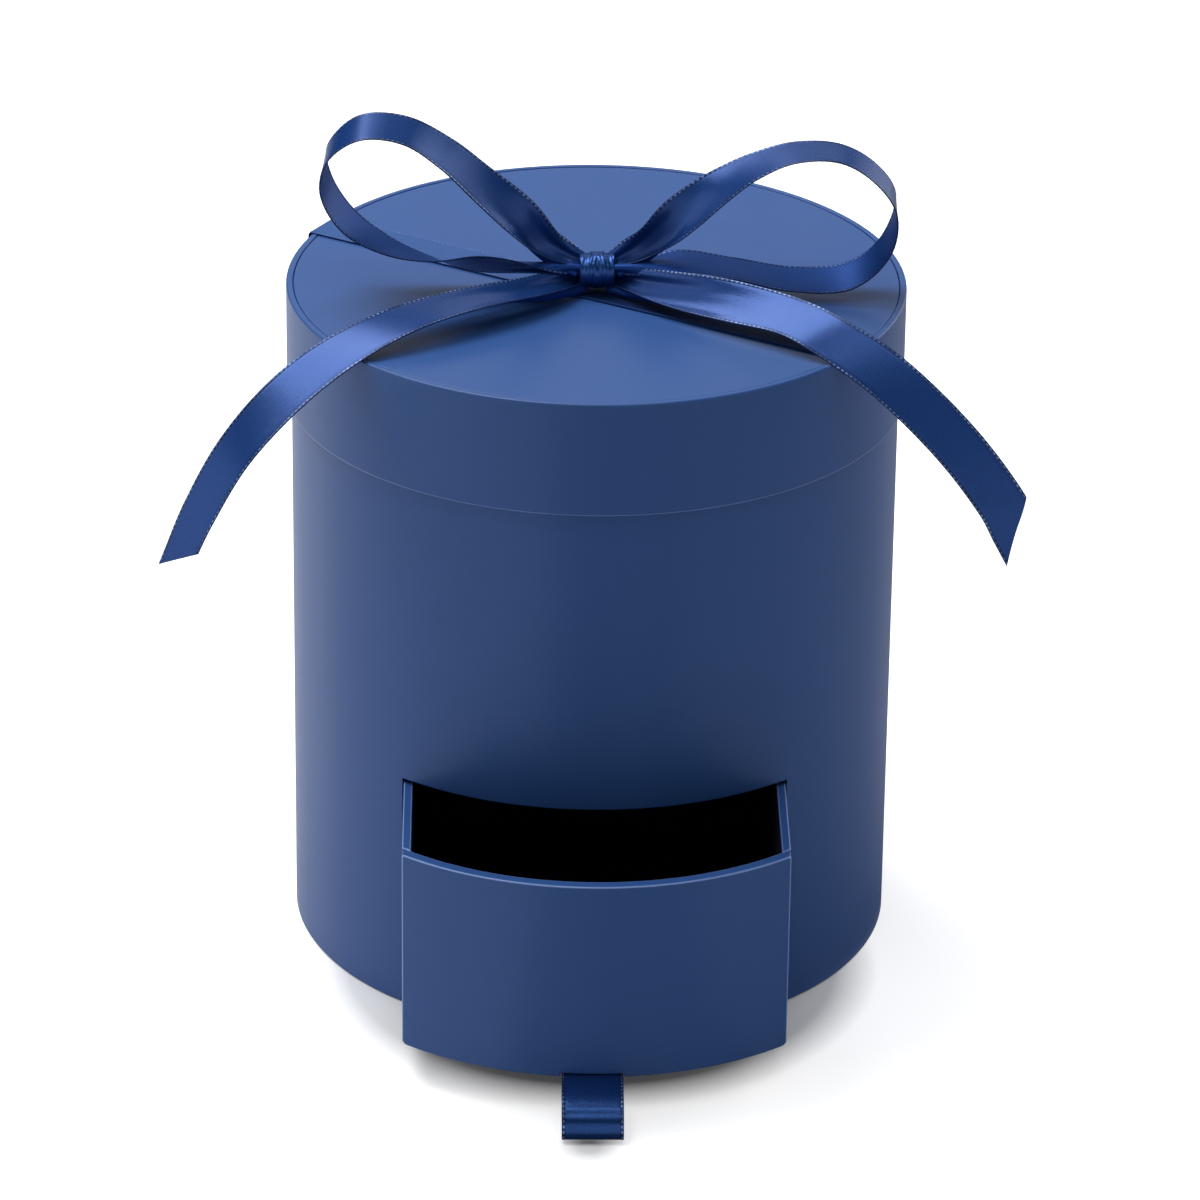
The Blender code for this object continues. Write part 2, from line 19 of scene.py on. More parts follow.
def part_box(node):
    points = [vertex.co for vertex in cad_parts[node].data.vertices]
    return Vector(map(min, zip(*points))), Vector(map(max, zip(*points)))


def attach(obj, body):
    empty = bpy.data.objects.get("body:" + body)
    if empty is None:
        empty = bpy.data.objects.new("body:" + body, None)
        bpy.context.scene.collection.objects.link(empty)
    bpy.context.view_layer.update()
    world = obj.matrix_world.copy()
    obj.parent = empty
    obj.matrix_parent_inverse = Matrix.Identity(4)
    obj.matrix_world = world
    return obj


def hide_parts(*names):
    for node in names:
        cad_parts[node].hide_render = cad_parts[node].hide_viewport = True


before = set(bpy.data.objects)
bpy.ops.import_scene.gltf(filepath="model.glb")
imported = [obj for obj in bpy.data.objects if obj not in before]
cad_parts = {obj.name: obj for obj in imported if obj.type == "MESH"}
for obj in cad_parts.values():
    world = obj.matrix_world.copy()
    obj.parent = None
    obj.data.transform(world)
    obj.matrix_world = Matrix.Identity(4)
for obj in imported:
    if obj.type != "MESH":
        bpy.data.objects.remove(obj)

LOG = logging.getLogger("gift_box")
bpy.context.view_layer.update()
MM = 0.001
# Edges that turn by more than this are folds, rounded in this many facets
FOLD_ANGLE = math.radians(45.0)
FOLD_FACETS = 3
# A face whose normal is this close to the way out from the axis is upright
UPRIGHT_COSINE = 0.9995
WHITE = (1.0, 1.0, 1.0, 1.0)
# The range that most values of a noise pattern lie in
NOISE_LOW, NOISE_HIGH = 0.35, 0.65

Point = tuple[float, float]
Point3 = tuple[float, float, float]
Colour = tuple[float, float, float, float]
Material = bpy.types.Material
Node = bpy.types.Node
Object = bpy.types.Object


class Body(Enum):
    """The bodies of the frame that the pieces ride on."""

    BOX = "box"
    DRAWER = "drawer"
    LID = "lid"


class Slot(Enum):
    """The record's material slots that the pieces made here take."""

    WRAP = "wrap_paper"
    LINING = "lining_paper"
    SATIN = "satin_ribbon"


def linear(hex_colour: str) -> Colour:
    """Turn an sRGB hex colour into the linear values that shaders take.

    Args:
        hex_colour: Six hex digits after a hash sign.

    Returns:
        Linear red, green and blue, and an alpha of 1.
    """
    shares = [int(hex_colour[i:i + 2], 16) / 255 for i in (1, 3, 5)]
    red, green, blue = [s / 12.92 if s <= 0.04045 else ((s + 0.055) / 1.055) ** 2.4 for s in shares]
    return red, green, blue, 1.0


def add_node(
    tree: bpy.types.NodeTree,
    kind: str,
    feeds: dict[str | int, Any] | None = None,
    **settings: Any,
) -> Node:
    """Add a shader node with its settings, and set or link its inputs.

    Args:
        tree: The node tree that gets the node.
        kind: The node's type, without the words ShaderNode.
        feeds: What each named or numbered input gets: a plain value, an output socket, or a node
            whose first output is linked.
        **settings: Values of the node's own properties.

    Returns:
        The new node.
    """
    node = tree.nodes.new("ShaderNode" + kind)
    for name, value in settings.items():
        setattr(node, name, value)
    for name, value in (feeds or {}).items():
        socket = node.inputs[name]
        if isinstance(name, str):
            socket = next(i for i in node.inputs if i.name == name and i.enabled)
        if isinstance(value, Node):
            value = next(output for output in value.outputs if output.enabled)
        if isinstance(value, bpy.types.NodeSocket):
            tree.links.new(value, socket)
        else:
            socket.default_value = value
    return node


def new_material(name: str) -> tuple[Material, Callable[..., Node]]:
    """Make a material with an empty node tree.

    Args:
        name: The material's name.

    Returns:
        The material, and add_node for its tree.
    """
    material = bpy.data.materials.new(name)
    material.use_nodes = True
    material.node_tree.nodes.clear()
    return material, partial(add_node, material.node_tree)


@dataclass(frozen=True)
class WrapPaper:
    """Laminated art paper, dyed navy and wrapped round greyboard.

    The matte film gives a soft, wide sheen that turns pale where the surface is seen at a slant.
    Fibres under the film give it a very fine grain, and the glued wrap pulls it into faint
    upright streaks.
    """

    name: str = "laminated_navy_wrap_paper"
    colour: str = "#2e538f"
    deep_colour: str = "#2b4f8a"
    roughness: float = 0.38
    roughness_swing: float = 0.03
    streak_span: Point = (0.3, 0.7)
    ior: float = 1.46
    specular_level: float = 0.35
    fibre: float = 0.9 * MM
    streak: float = 26.0 * MM
    streak_stretch: float = 0.05
    fibre_relief: float = 0.012 * MM
    streak_relief: float = 0.05 * MM

    def build(self) -> Material:
        """Make the material.

        Returns:
            The wrap paper as a node material.
        """
        material, add = new_material(self.name)
        place = add("TexCoord").outputs["Object"]
        upright = add("Mapping", {"Vector": place, "Scale": (1.0, 1.0, self.streak_stretch)})
        fine = {"Scale": 1 / self.fibre, "Detail": 3.0, "Roughness": 0.6}
        fibres = add("TexNoise", {"Vector": place, **fine})
        wide = {"Scale": 1 / self.streak, "Detail": 2.0, "Roughness": 0.5}
        streaks = add("TexNoise", {"Vector": upright, **wide})
        shades = {"A": linear(self.deep_colour), "B": linear(self.colour)}
        tint = add("Mix", {"Factor": streaks, **shades}, data_type="RGBA")
        span = {"From Min": self.streak_span[0], "From Max": self.streak_span[1]}
        least, most = self.roughness - self.roughness_swing, self.roughness + self.roughness_swing
        gloss = add("MapRange", {"Value": streaks, **span, "To Min": least, "To Max": most})
        pulled = add("Bump", {"Height": streaks, "Distance": self.streak_relief})
        grain = add("Bump", {"Height": fibres, "Distance": self.fibre_relief, "Normal": pulled})
        feeds = {
            "Base Color": tint,
            "Roughness": gloss,
            "IOR": self.ior,
            "Specular IOR Level": self.specular_level,
            "Normal": grain,
        }
        add("OutputMaterial", {"Surface": add("BsdfPrincipled", feeds)})
        return material


@dataclass(frozen=True)
class UncoatedStock:
    """Uncoated paper and board, pressed from pulp.

    It has no film, so its flecks and felt-side grain leave a dull face, slightly mottled close up.
    """

    name: str
    colour: str
    fleck_colour: str
    roughness: float
    fleck: float
    fleck_detail: float
    fleck_roughness: float
    relief: float
    fleck_start: float = 0.0
    fleck_end: float = 1.0
    ior: float = 1.5
    specular_level: float = 0.5

    def build(self) -> Material:
        """Make the material.

        Returns:
            The paper or board as a node material.
        """
        material, add = new_material(self.name)
        pattern = {"Scale": 1 / self.fleck, "Detail": self.fleck_detail, "Roughness": self.fleck_roughness}
        pulp = add("TexNoise", {"Vector": add("TexCoord").outputs["Object"], **pattern})
        flecks = add("MapRange", {"Value": pulp, "From Min": self.fleck_start, "From Max": self.fleck_end})
        shades = {"A": linear(self.colour), "B": linear(self.fleck_colour)}
        feeds = {
            "Base Color": add("Mix", {"Factor": flecks, **shades}, data_type="RGBA"),
            "Roughness": self.roughness,
            "IOR": self.ior,
            "Specular IOR Level": self.specular_level,
            "Normal": add("Bump", {"Height": pulp, "Distance": self.relief}),
        }
        add("OutputMaterial", {"Surface": add("BsdfPrincipled", feeds)})
        return material


@dataclass(frozen=True)
class PolyesterSatin:
    """Woven polyester satin: long warp threads lie along the ribbon and carry its gloss.

    The warp gives a bright, silky band where the ribbon turns away from the light, broken into
    fine lengthwise glints. The selvedge is bound by weft turns that show as light dashes.
    """

    name: str = "polyester_satin_face"
    colour: str = "#1d4385"
    deep_colour: str = "#14336b"
    glint_colour: str = "#2b579d"
    glint_share: float = 0.6
    glint_span: Point = (0.5, 0.8)
    binding_colour: str = "#7f9cd4"
    edge_colour: str = "#132b5a"
    metallic: float = 0.29
    roughness: float = 0.3
    roughness_rise: float = 0.05
    roughness_fall: float = 0.07
    ior: float = 1.5
    specular_level: float = 0.35
    gloss_colour: str = "#dae5fb"
    anisotropy: float = 0.5
    quarter_turn: float = 0.25
    thread_width: float = 0.42 * MM
    thread_length: float = 3.2 * MM
    thread_relief: float = 0.05 * MM
    speck: float = 0.4 * MM
    binding_pitch: float = 1.7 * MM
    binding_start: float = 0.3 * MM
    binding_end: float = 0.8 * MM
    binding_least: float = 0.15
    binding_most: float = 0.9
    dash_softness: float = 0.45
    edge_line: float = 1.1 * MM
    edge_blur: float = 0.12 * MM
    unevenness: float = 9.0 * MM

    def build(self) -> Material:
        """Make the material. The ribbon's UVs hold metres along it and metres across it.

        Returns:
            The satin as a node material.
        """
        material, add = new_material(self.name)
        weave = add("UVMap", uv_map=Ribbon.WEAVE)
        along, margin, _ = add("SeparateXYZ", {"Vector": add("UVMap", uv_map=Ribbon.EDGE)}).outputs
        # Real warp threads lie about 0.1 mm apart, so they are drawn coarser to show at all
        long_way = (1 / self.thread_length, 1 / self.thread_width, 1.0)
        stretched = add("Mapping", {"Vector": weave, "Scale": long_way})
        threads = add("TexNoise", {"Vector": stretched, "Scale": 1.0, "Detail": 2.0, "Roughness": 0.6})
        even = {"Vector": weave, "Detail": 1.0, "Roughness": 0.5}
        specks = add("TexNoise", {"Scale": 1 / self.speck, **even})
        patches = add("TexNoise", {"Scale": 1 / self.unevenness, **even})
        noise_span = {"From Min": NOISE_LOW, "From Max": NOISE_HIGH}

        # The binding's dashes: where a weft turn shows, inside its margin, fainter here and there
        phase = add("Math", {0: along, 1: 2 * math.pi / self.binding_pitch}, operation="MULTIPLY")
        turns = add("Math", {0: phase}, operation="SINE")
        dash_span = {"From Min": -self.dash_softness, "From Max": self.dash_softness}
        bound = add("MapRange", {"Value": turns, **dash_span})
        blur = self.edge_blur
        spans = (
            (self.binding_start - blur, self.binding_start + blur),
            (self.binding_end + blur, self.binding_end - blur),
            (self.edge_line + blur, self.edge_line - blur),
        )
        past_edge, before_line, dark_edge = [
            add("MapRange", {"Value": margin, "From Min": none, "From Max": full}) for none, full in spans
        ]
        strength = {"To Min": self.binding_least, "To Max": self.binding_most}
        shown = add("MapRange", {"Value": patches, **noise_span, **strength})
        for part in (past_edge, before_line, shown):
            bound = add("Math", {0: bound, 1: part}, operation="MULTIPLY")

        # The colour: threads, glints on them, the dark line inside the selvedge, then the binding
        shades = {"A": linear(self.deep_colour), "B": linear(self.colour)}
        tint = add("Mix", {"Factor": threads, **shades}, data_type="RGBA")
        span = {"From Min": self.glint_span[0], "From Max": self.glint_span[1]}
        glints = add("MapRange", {"Value": specks, **span, "To Max": self.glint_share})
        layers = ((glints, self.glint_colour), (dark_edge, self.edge_colour), (bound, self.binding_colour))
        for share, colour in layers:
            tint = add("Mix", {"Factor": share, "A": tint, "B": linear(colour)}, data_type="RGBA")

        dull, bright = self.roughness + self.roughness_rise, self.roughness - self.roughness_fall
        feeds = {
            "Base Color": tint,
            "Metallic": self.metallic,
            "Roughness": add("MapRange", {"Value": specks, **noise_span, "To Min": dull, "To Max": bright}),
            "IOR": self.ior,
            "Specular IOR Level": self.specular_level,
            "Specular Tint": linear(self.gloss_colour),
            "Anisotropic": self.anisotropy,
            "Anisotropic Rotation": self.quarter_turn,
            "Tangent": add("Tangent", direction_type="UV_MAP", uv_map=Ribbon.WEAVE),
            "Normal": add("Bump", {"Height": threads, "Distance": self.thread_relief}),
        }
        add("OutputMaterial", {"Surface": add("BsdfPrincipled", feeds)})
        return material


@dataclass
class Finishes:
    """The finished materials, built once and shared by the pieces."""

    wrap: Material = field(default_factory=WrapPaper().build)
    # Folded edges take a glossier copy of the wrap, whose lighter colour is a painted highlight
    fold: Material = field(
        default_factory=WrapPaper(
            name="wrap_fold_painted_highlight",
            colour="#7793cd",
            deep_colour="#6c88c2",
            roughness=0.32,
            specular_level=0.5,
        ).build
    )
    # Black-blue lining paper, pasted in the tray and the compartment
    lining: Material = field(
        default_factory=UncoatedStock(
            name="uncoated_black_lining_paper",
            colour="#0b1224",
            fleck_colour="#121a2e",
            roughness=0.86,
            fleck=1.2 * MM,
            fleck_detail=4.0,
            fleck_roughness=0.65,
            relief=0.03 * MM,
            ior=1.45,
            specular_level=0.18,
        ).build
    )
    # Navy-faced greyboard of the hidden carriers, pressed from waste paper
    board: Material = field(
        default_factory=UncoatedStock(
            name="faced_greyboard",
            colour="#182746",
            fleck_colour="#243356",
            roughness=0.9,
            fleck=1.6 * MM,
            fleck_detail=5.0,
            fleck_roughness=0.7,
            relief=0.05 * MM,
            fleck_start=0.52,
            fleck_end=0.7,
        ).build
    )
    satin: Material = field(default_factory=PolyesterSatin().build)
    # The back of single-faced satin is duller
    satin_back: Material = field(
        default_factory=PolyesterSatin(
            name="polyester_satin_back",
            colour="#193f84",
            deep_colour="#133169",
            glint_colour="#234f9a",
            binding_colour="#5574b2",
            metallic=0.38,
            roughness=0.42,
            specular_level=0.12,
            anisotropy=0.2,
        ).build
    )
    # Band: a lighter, duller satin as a painted sheen on the lid, and a near-black painted shadow past the
    # knot
    band_satin_painted_sheen: Material = field(
        default_factory=PolyesterSatin(
            name="band_satin_with_painted_sheen",
            colour="#36568f",
            deep_colour="#305087",
            glint_colour="#44659f",
            binding_colour="#4f6ca4",
            edge_colour="#345086",
            metallic=0.12,
            roughness=0.42,
            specular_level=0.14,
        ).build
    )
    band_back_painted_shadow: Material = field(
        default_factory=PolyesterSatin(
            name="band_satin_painted_shadow",
            colour="#0f1f42",
            deep_colour="#0c1936",
            glint_colour="#162a55",
            binding_colour="#22386a",
            metallic=0.2,
            roughness=0.6,
            specular_level=0.05,
            anisotropy=0.2,
        ).build
    )
    # A glossier satin for the knot and the pull, whose lighter glints and binding are a painted highlight
    satin_glossy_painted_highlight: Material = field(
        default_factory=PolyesterSatin(
            name="satin_glossy_with_painted_highlight",
            colour="#1d4588",
            deep_colour="#12305f",
            glint_colour="#4474c6",
            binding_colour="#8fb0ec",
            metallic=0.55,
            roughness=0.32,
            specular_level=0.4,
        ).build
    )

    def dress(self, item: Object, slot: Slot, body: Body) -> None:
        """Attach a piece to the body that it rides on and, if it has no material, give it the one for its
        slot.

        Args:
            item: The piece.
            slot: The record's material slot.
            body: The body that carries it.
        """
        if not item.data.materials:
            item.data.materials.append({Slot.WRAP: self.wrap, Slot.LINING: self.lining}[slot])
        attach(item, body.value)
        LOG.info("built %s on %s", item.name, body.value)


def repaper(name: str, material: Material) -> None:
    """Give a node of the frame a finished material.

    Args:
        name: The node's name.
        material: The finished material.
    """
    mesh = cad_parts[name].data
    mesh.materials.clear()
    mesh.materials.append(material)
    LOG.info("papered %s", name)


def mesh_object(name: str, points: Sequence[Point3], faces: Sequence[Sequence[int]]) -> Object:
    """Make a smooth-shaded object from points and faces, with its faces turned outwards.

    Args:
        name: The object's name.
        points: Places in metres.
        faces: Point numbers of each face.

    Returns:
        The object, linked to the scene.
    """
    mesh = bpy.data.meshes.new(name)
    mesh.from_pydata([tuple(p) for p in points], [], [tuple(f) for f in faces])
    shape = bmesh.new()
    shape.from_mesh(mesh)
    bmesh.ops.recalc_face_normals(shape, faces=shape.faces)
    shape.to_mesh(mesh)
    shape.free()
    mesh.shade_smooth()
    item = bpy.data.objects.new(name, mesh)
    bpy.context.scene.collection.objects.link(item)
    return item


def bake_modifiers(item: Object) -> Object:
    """Apply an object's modifiers to its mesh.

    Args:
        item: The object.

    Returns:
        The same object, with a plain mesh.
    """
    bpy.context.view_layer.update()
    graph = bpy.context.evaluated_depsgraph_get()
    mesh = bpy.data.meshes.new_from_object(item.evaluated_get(graph))
    item.modifiers.clear()
    item.data = mesh
    return item


def turned(name: str, outline: Sequence[Point], segments: int = 288) -> Object:
    """Turn a closed outline of radius and height about Z.

    Args:
        name: The object's name.
        outline: Corners as radius and height, where a radius of 0 closes on the axis.
        segments: Facets round the axis.

    Returns:
        The turned object.
    """
    points: list[Point3] = []
    rings: list[list[int]] = []
    for radius, height in outline:
        count = segments if radius > 0 else 1
        first = len(points)
        for step in range(count):
            angle = 2 * math.pi * step / segments
            points.append((radius * math.sin(angle), -radius * math.cos(angle), height))
        rings.append([first + step % count for step in range(segments)])
    faces = []
    pairs = zip(rings, rings[1:] + rings[:1])
    for one, other in pairs:
        for step in range(segments):
            after = (step + 1) % segments
            corners = [one[step], one[after], other[after], other[step]]
            unique = list(dict.fromkeys(corners))
            if len(unique) > 2:
                faces.append(unique)
    return mesh_object(name, points, faces)


def sleeve(name: str, outer: float, inner: float, low: float, high: float) -> Object:
    """Turn a plain sleeve about Z.

    Args:
        name: The object's name.
        outer: Its outer radius.
        inner: Its inner radius, 0 for a solid cylinder.
        low: Z of its foot.
        high: Z of its top.

    Returns:
        The sleeve.
    """
    return turned(name, [(outer, low), (outer, high), (inner, high), (inner, low)])


def arc(centre: Point, radius: float, first: float, last: float, steps: int = 5) -> list[Point]:
    """List the points of an arc.

    Args:
        centre: The arc's centre.
        radius: The arc's radius.
        first: The first angle in degrees.
        last: The last angle in degrees.
        steps: The number of chords.

    Returns:
        The points, both ends included.
    """
    angles = np.radians(np.linspace(first, last, steps + 1))
    return [(centre[0] + radius * math.cos(a), centre[1] + radius * math.sin(a)) for a in angles]


def round_corners(corners: Sequence[Point3]) -> list[Point]:
    """Round the corners of a convex outline that runs anticlockwise along its axes.

    Args:
        corners: Each corner's place and the radius of its round.

    Returns:
        The rounded outline.
    """
    out: list[Point] = []
    count = len(corners)
    for index, (x, y, radius) in enumerate(corners):
        here = Vector((x, y))
        before = (Vector(corners[index - 1][:2]) - here).normalized()
        after = (Vector(corners[(index + 1) % count][:2]) - here).normalized()
        if radius <= 0:
            out.append((x, y))
            continue
        centre = here + (before + after) * radius
        start = math.degrees(math.atan2(-after.y, -after.x))
        out.extend(arc((centre.x, centre.y), radius, start, start + 90))
    return out


def prism(name: str, outline: Sequence[Point], near: float, far: float) -> Object:
    """Run an outline in X and Z along Y.

    Args:
        name: The object's name.
        outline: Corners as X and Z.
        near: Y of one end.
        far: Y of the other end.

    Returns:
        The prism.
    """
    count = len(outline)
    points = [(x, y, z) for y in (near, far) for x, z in outline]
    faces: list[list[int]] = [list(range(count)), list(range(count, 2 * count))]
    for step in range(count):
        after = (step + 1) % count
        faces.append([step, after, after + count, step + count])
    return mesh_object(name, points, faces)


def board(name: str, low: Point3, high: Point3) -> Object:
    """Make the plain blank of a straight board.

    Args:
        name: The object's name.
        low: Its lowest corner.
        high: Its highest corner.

    Returns:
        The blank.
    """
    outline = [(low[0], low[2]), (high[0], low[2]), (high[0], high[2]), (low[0], high[2])]
    return prism(name, outline, low[1], high[1])


def trim(item: Object, tool: Object, operation: str = "DIFFERENCE") -> Object:
    """Cut a piece with a tool, and remove the tool.

    Args:
        item: The piece.
        tool: The tool's object.
        operation: DIFFERENCE, or INTERSECT to keep what lies in the tool.

    Returns:
        The piece.
    """
    step = item.modifiers.new("trim", "BOOLEAN")
    step.operation = operation
    step.solver = "EXACT"
    step.object = tool
    bake_modifiers(item)
    bpy.data.objects.remove(tool, do_unlink=True)
    return item


def even_shading(item: Object) -> Object:
    """Shade a piece smoothly, and even the shading out by the size of its faces.

    Args:
        item: The piece.

    Returns:
        The piece.
    """
    item.data.shade_smooth()
    item.modifiers.new("even", "WEIGHTED_NORMAL").keep_sharp = True
    return bake_modifiers(item)


def ease_edges(item: Object, width: float, materials: Sequence[Material], full_width: bool = False) -> None:
    """Round a piece's sharp edges as folded paper rounds them, and even out its shading.

    Args:
        item: The piece.
        width: The width of the round.
        materials: The material of its faces and that of its folds.
        full_width: Keep the round's width next to short edges too.
    """
    for material in materials:
        item.data.materials.append(material)
    step = item.modifiers.new("fold", "BEVEL")
    step.material = 1
    step.use_clamp_overlap = not full_width
    step.width = width
    step.segments = FOLD_FACETS
    step.limit_method = "ANGLE"
    step.angle_limit = FOLD_ANGLE
    even_shading(bake_modifiers(item))


def round_shading(item: Object) -> Object:
    """Shade a turned piece's upright faces as a true cylinder, so that no cut shows as a crease.

    Args:
        item: The piece, still centred on the axis that it was turned about.

    Returns:
        The piece.
    """
    mesh = item.data
    normals = [corner.vector.copy() for corner in mesh.corner_normals]
    for face in mesh.polygons:
        outwards = Vector((face.center.x, face.center.y, 0.0)).normalized()
        facing = face.normal.dot(outwards)
        if abs(facing) < UPRIGHT_COSINE:
            continue
        for corner in face.loop_indices:
            place = mesh.vertices[mesh.loops[corner].vertex_index].co
            normals[corner] = Vector((place.x, place.y, 0.0)).normalized() * math.copysign(1.0, facing)
    mesh.normals_split_custom_set(normals)
    return item


@dataclass
class Frame:
    """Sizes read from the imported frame, which every piece is worked out from."""

    lid_radius: float
    lid_top: float
    lid_hem: float
    body_radius: float
    body_top: float
    disc_low: float
    disc_high: float
    drawer_open: float
    knot: Vector
    knot_size: Vector

    @classmethod
    def read(cls) -> "Frame":
        """Read the sizes.

        Returns:
            The sizes of the frame's main nodes.
        """
        wall_low, wall_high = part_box("lid_wall")
        _, tube_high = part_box("body_tube")
        disc_low, disc_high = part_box("lid_top")
        front_low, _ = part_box("drawer_front")
        knot_low, knot_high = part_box("bow_knot")
        return cls(
            lid_radius=wall_high.x,
            lid_top=wall_high.z,
            lid_hem=wall_low.z,
            body_radius=tube_high.x,
            body_top=tube_high.z,
            disc_low=disc_low.z,
            disc_high=disc_high.z,
            drawer_open=-front_low.y - tube_high.x,
            knot=(knot_low + knot_high) / 2,
            knot_size=knot_high - knot_low,
        )


@dataclass
class WrappedShell:
    """What the body and the lid share: a paper wrap, lapped at the back and pasted inside."""

    sizes: Frame
    finishes: Finishes
    paper: float = 0.12 * MM
    lap_width: float = 9.0 * MM
    overrun: float = 5.0 * MM

    def add_lap(self, name: str, radius: float, low: float, high: float, body: Body) -> None:
        """Make the wrap's glued lap: a strip of paper that stands proud at the back.

        Args:
            name: The piece's name.
            radius: The shell's outer radius.
            low: Z of the strip's foot.
            high: Z of its top.
            body: The body that carries it.
        """
        lap = sleeve(name, radius + self.paper, radius, low, high)
        half, past = self.lap_width / 2, self.overrun
        back = board("lap_tool", (-half, 0.0, low - past), (half, radius + past, high + past))
        trim(lap, back, "INTERSECT")
        self.finishes.dress(round_shading(lap), Slot.WRAP, body)

    def add_pasted(self, name: str, radius: float, low: float, high: float, slot: Slot, body: Body) -> None:
        """Make a sheet pasted inside the wall: the wrap's turned-in edge, or a lining.

        Args:
            name: The piece's name.
            radius: The wall's inner radius.
            low: Z of the sheet's foot.
            high: Z of its top.
            slot: Its material slot.
            body: The body that carries it.
        """
        sheet = sleeve(name, radius, radius - self.paper, low, high)
        self.finishes.dress(round_shading(sheet), slot, body)


@dataclass
class BodyShell(WrappedShell):
    """The wrapped body tube with its slot, its seam and its turned-in edge, and the hidden boards."""

    LINED = ("drawer_deck", "compartment_floor", "drawer_guide_left", "drawer_guide_right", "drawer_stop")
    BARE = ("base_disc", "riser_ring")

    wall: float = 2.0 * MM
    rim_round: float = 0.6 * MM
    foot_round: float = 0.5 * MM
    slot_fold: float = 0.45 * MM
    slot_low: float = 12.2 * MM
    slot_high: float = 81.9 * MM
    slot_half: float = 61.6 * MM
    slot_margin: float = 1.5 * MM
    facets: int = 300
    turn_in: float = 16.0 * MM

    def build(self) -> None:
        """Build and dress every piece of the body, and paper its hidden boards."""
        self.make_tube()
        outer, top = self.sizes.body_radius, self.sizes.body_top - self.rim_round
        inner, edge = outer - self.wall, top - self.turn_in
        _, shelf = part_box("compartment_floor")
        self.add_lap("body_wrap_lap", outer, self.foot_round, top, Body.BOX)
        self.add_pasted("body_wrap_turn_in", inner, edge, top, Slot.WRAP, Body.BOX)
        self.add_pasted("compartment_lining", inner, shelf.z, edge, Slot.LINING, Body.BOX)
        for name in self.LINED:
            repaper(name, self.finishes.lining)
        for name in self.BARE:
            repaper(name, self.finishes.board)

    def make_tube(self) -> None:
        """Make the tube: a turned wall with folded rims, cut for the drawer."""
        outer, top = self.sizes.body_radius, self.sizes.body_top
        inner, fold, foot = outer - self.wall, self.rim_round, self.foot_round
        outline = [
            *arc((outer - foot, foot), foot, -90, 0),
            (outer, self.slot_low - self.slot_margin),
            (outer, self.slot_high + self.slot_margin),
            *arc((outer - fold, top - fold), fold, 0, 90),
            *arc((inner + fold, top - fold), fold, 90, 180),
            (inner, self.slot_high + self.slot_margin),
            (inner, self.slot_low - self.slot_margin),
            (inner, 0.0),
        ]
        tube = turned("body_wrap", outline, self.facets)
        near = (-self.slot_half, -outer - self.overrun, self.slot_low)
        trim(tube, board("slot_tool", near, (self.slot_half, 0.0, self.slot_high)))
        ease_edges(tube, self.slot_fold, (self.finishes.wrap, self.finishes.wrap), full_width=True)
        self.finishes.dress(round_shading(tube), Slot.WRAP, Body.BOX)
        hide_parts("body_tube")


